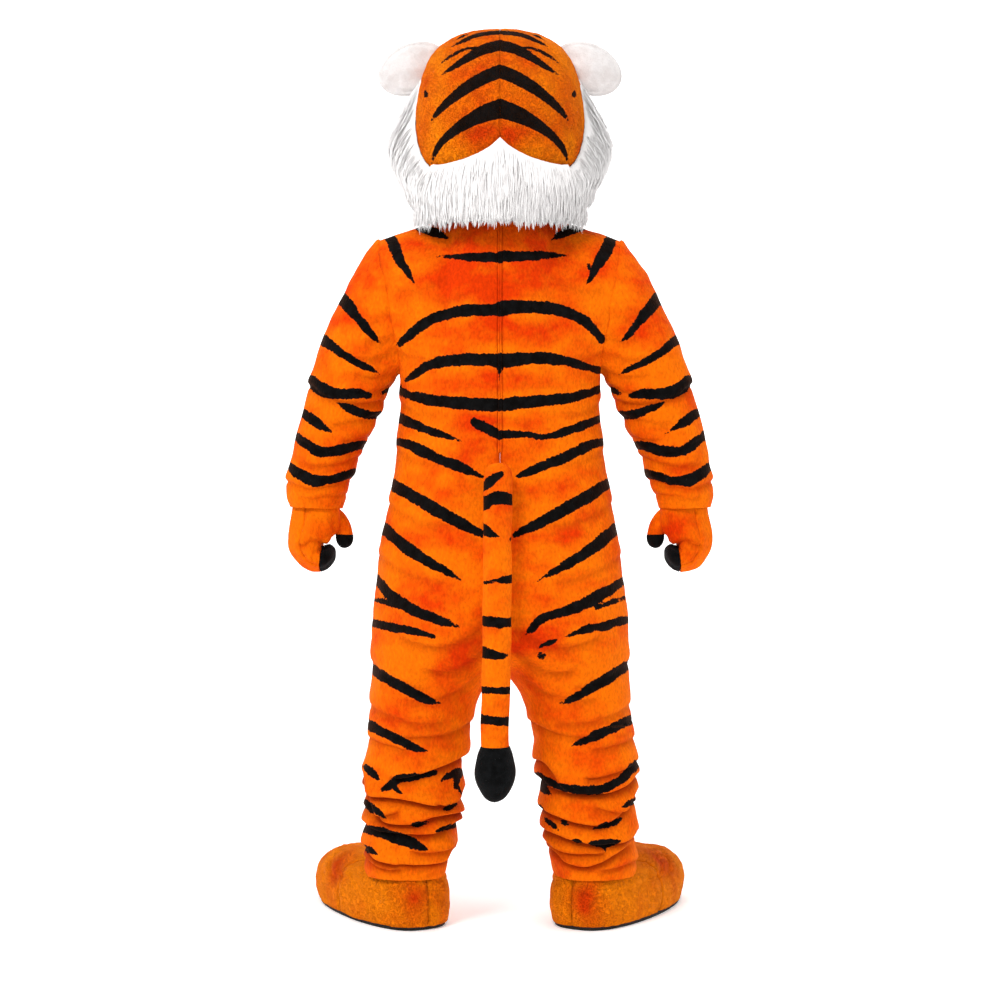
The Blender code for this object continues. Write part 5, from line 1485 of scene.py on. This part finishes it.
def build_zip(plush):
    """Plush-covered placket: two narrow flaps that meet over the closed zip."""
    height = np.linspace(*ZIP_ENDS, 150)
    centre = body_grid(1.0, 1.0, 52)[:, 0]
    order = np.argsort(centre[:, 2])
    y = np.interp(height, centre[order, 2], centre[order, 1])
    across = np.linspace(-ZIP_HALF_WIDTH, ZIP_HALF_WIDTH, 13)
    ridge = 0.5 * ZIP_FLAP * (1.0 - (np.abs(np.abs(across) - ZIP_FLAP) / ZIP_FLAP) ** 2)
    grid = np.stack([across[None] + 0.0 * y[:, None],
                     y[:, None] + ZIP_FLAP + ridge[None],
                     height[:, None] - SHOULDER_HEIGHT + 0.0 * across[None]], axis=-1)
    grid[..., 0] += 0.0006 * lumps(grid, 0.05, 91)
    x, height = laid_out(grid)
    # painted shade in the narrow groove where the two flaps meet
    values = {"stripe": inside_stripes(x, height, BODY_ALL_STRIPES), "warm": warmth(x, height),
              "painted_crease_and_seam_shade": np.exp(-(across / 0.0007) ** 2)[None] + 0.0 * x}
    piece = cloth_piece("plush_zip_placket", grid, plush, 0.0012, values)
    worn(piece, "zip_tape", "zip_strip")


# ---------------------------------------------------------------- stage
CAMERA_DISTANCE = 4.5
CAMERA_HEIGHT = 1.05
CAMERA_SHIFT = -0.0715       # frames the whole figure with the camera held level
CAMERA_LENS = 75.96


def add_camera():
    lens = bpy.data.cameras.new("camera")
    lens.lens = CAMERA_LENS
    lens.sensor_width = 36.0
    lens.shift_y = CAMERA_SHIFT
    camera = bpy.data.objects.new("camera", lens)
    camera.location = (0.0, CAMERA_DISTANCE, CAMERA_HEIGHT - SHOULDER_HEIGHT)
    camera.rotation_euler = (0.5 * math.pi, 0.0, math.pi)
    bpy.context.scene.collection.objects.link(camera)
    bpy.context.scene.camera = camera


def add_light(name, place, target, size, watts):
    data = bpy.data.lights.new(name, "AREA")
    data.shape = "SQUARE"
    data.size = size
    data.energy = watts
    light = bpy.data.objects.new(name, data)
    light.location = place
    away = np.array(place) - np.array(target)
    light.rotation_euler = (math.atan2(math.hypot(away[0], away[1]), away[2]), 0.0,
                            math.atan2(away[0], -away[1]))
    bpy.context.scene.collection.objects.link(light)


def add_sheet(name, corners, mat):
    sheet = mesh_piece(name, np.array(corners), [[0, 1, 2, 3]], mat)


def add_stage():
    floor = CAD_BOX[0][2] - 0.0005
    near, far, half = 12.0, -4.0, 8.0
    add_sheet("studio_floor", [(-half, far, floor), (half, far, floor), (half, near, floor),
                               (-half, near, floor)], white_sweep("matt white floor", 0.26))
    add_sheet("studio_backdrop", [(-half, far, floor), (-half, far, floor + 5.0),
                                  (half, far, floor + 5.0), (half, far, floor)],
              white_sweep("matt white backdrop", 0.60))
    add_light("key light", (1.9, 3.2, 2.9), (0.0, 0.0, -0.5), 1.5, 150.0)
    add_light("fill light", (-3.0, 3.4, 0.6), (0.0, 0.0, -0.6), 2.6, 30.0)
    add_light("top light", (0.0, 0.4, 3.6), (0.0, 0.0, 0.0), 2.0, 50.0)
    add_light("front light", (-1.0, -3.2, 1.6), (0.0, 0.0, -0.4), 2.0, 36.0)
    add_light("left side light", (3.4, 0.2, 0.9), (0.0, 0.0, 0.0), 1.6, 26.0)
    add_light("right side light", (-3.4, 0.2, 0.9), (0.0, 0.0, 0.0), 1.6, 22.0)
    world = bpy.data.worlds.new("studio")
    world.use_nodes = True
    sky = world.node_tree.nodes["Background"]
    sky.inputs["Color"].default_value = (1.0, 1.0, 1.0, 1.0)
    sky.inputs["Strength"].default_value = 0.36
    bpy.context.scene.world = world
    bpy.context.scene.view_settings.view_transform = "Standard"


def main():
    add_camera()
    add_stage()
    plush = brushed_plush()
    curly = curly_plush()
    black = black_plush()
    white = white_plush()
    build_suit(plush)
    build_zip(plush)
    build_tail(plush, black)
    rubber = foam_rubber()
    for side_name, side in SIDES:
        build_glove(side_name, side, plush, black)
        build_boot(side_name, side, curly, rubber)
        build_ear(side_name, side, white)
    build_head_panels(curly)
    build_face_pieces(white, rose_velour(), moulded_eye())
    build_mane(long_fur())


main()
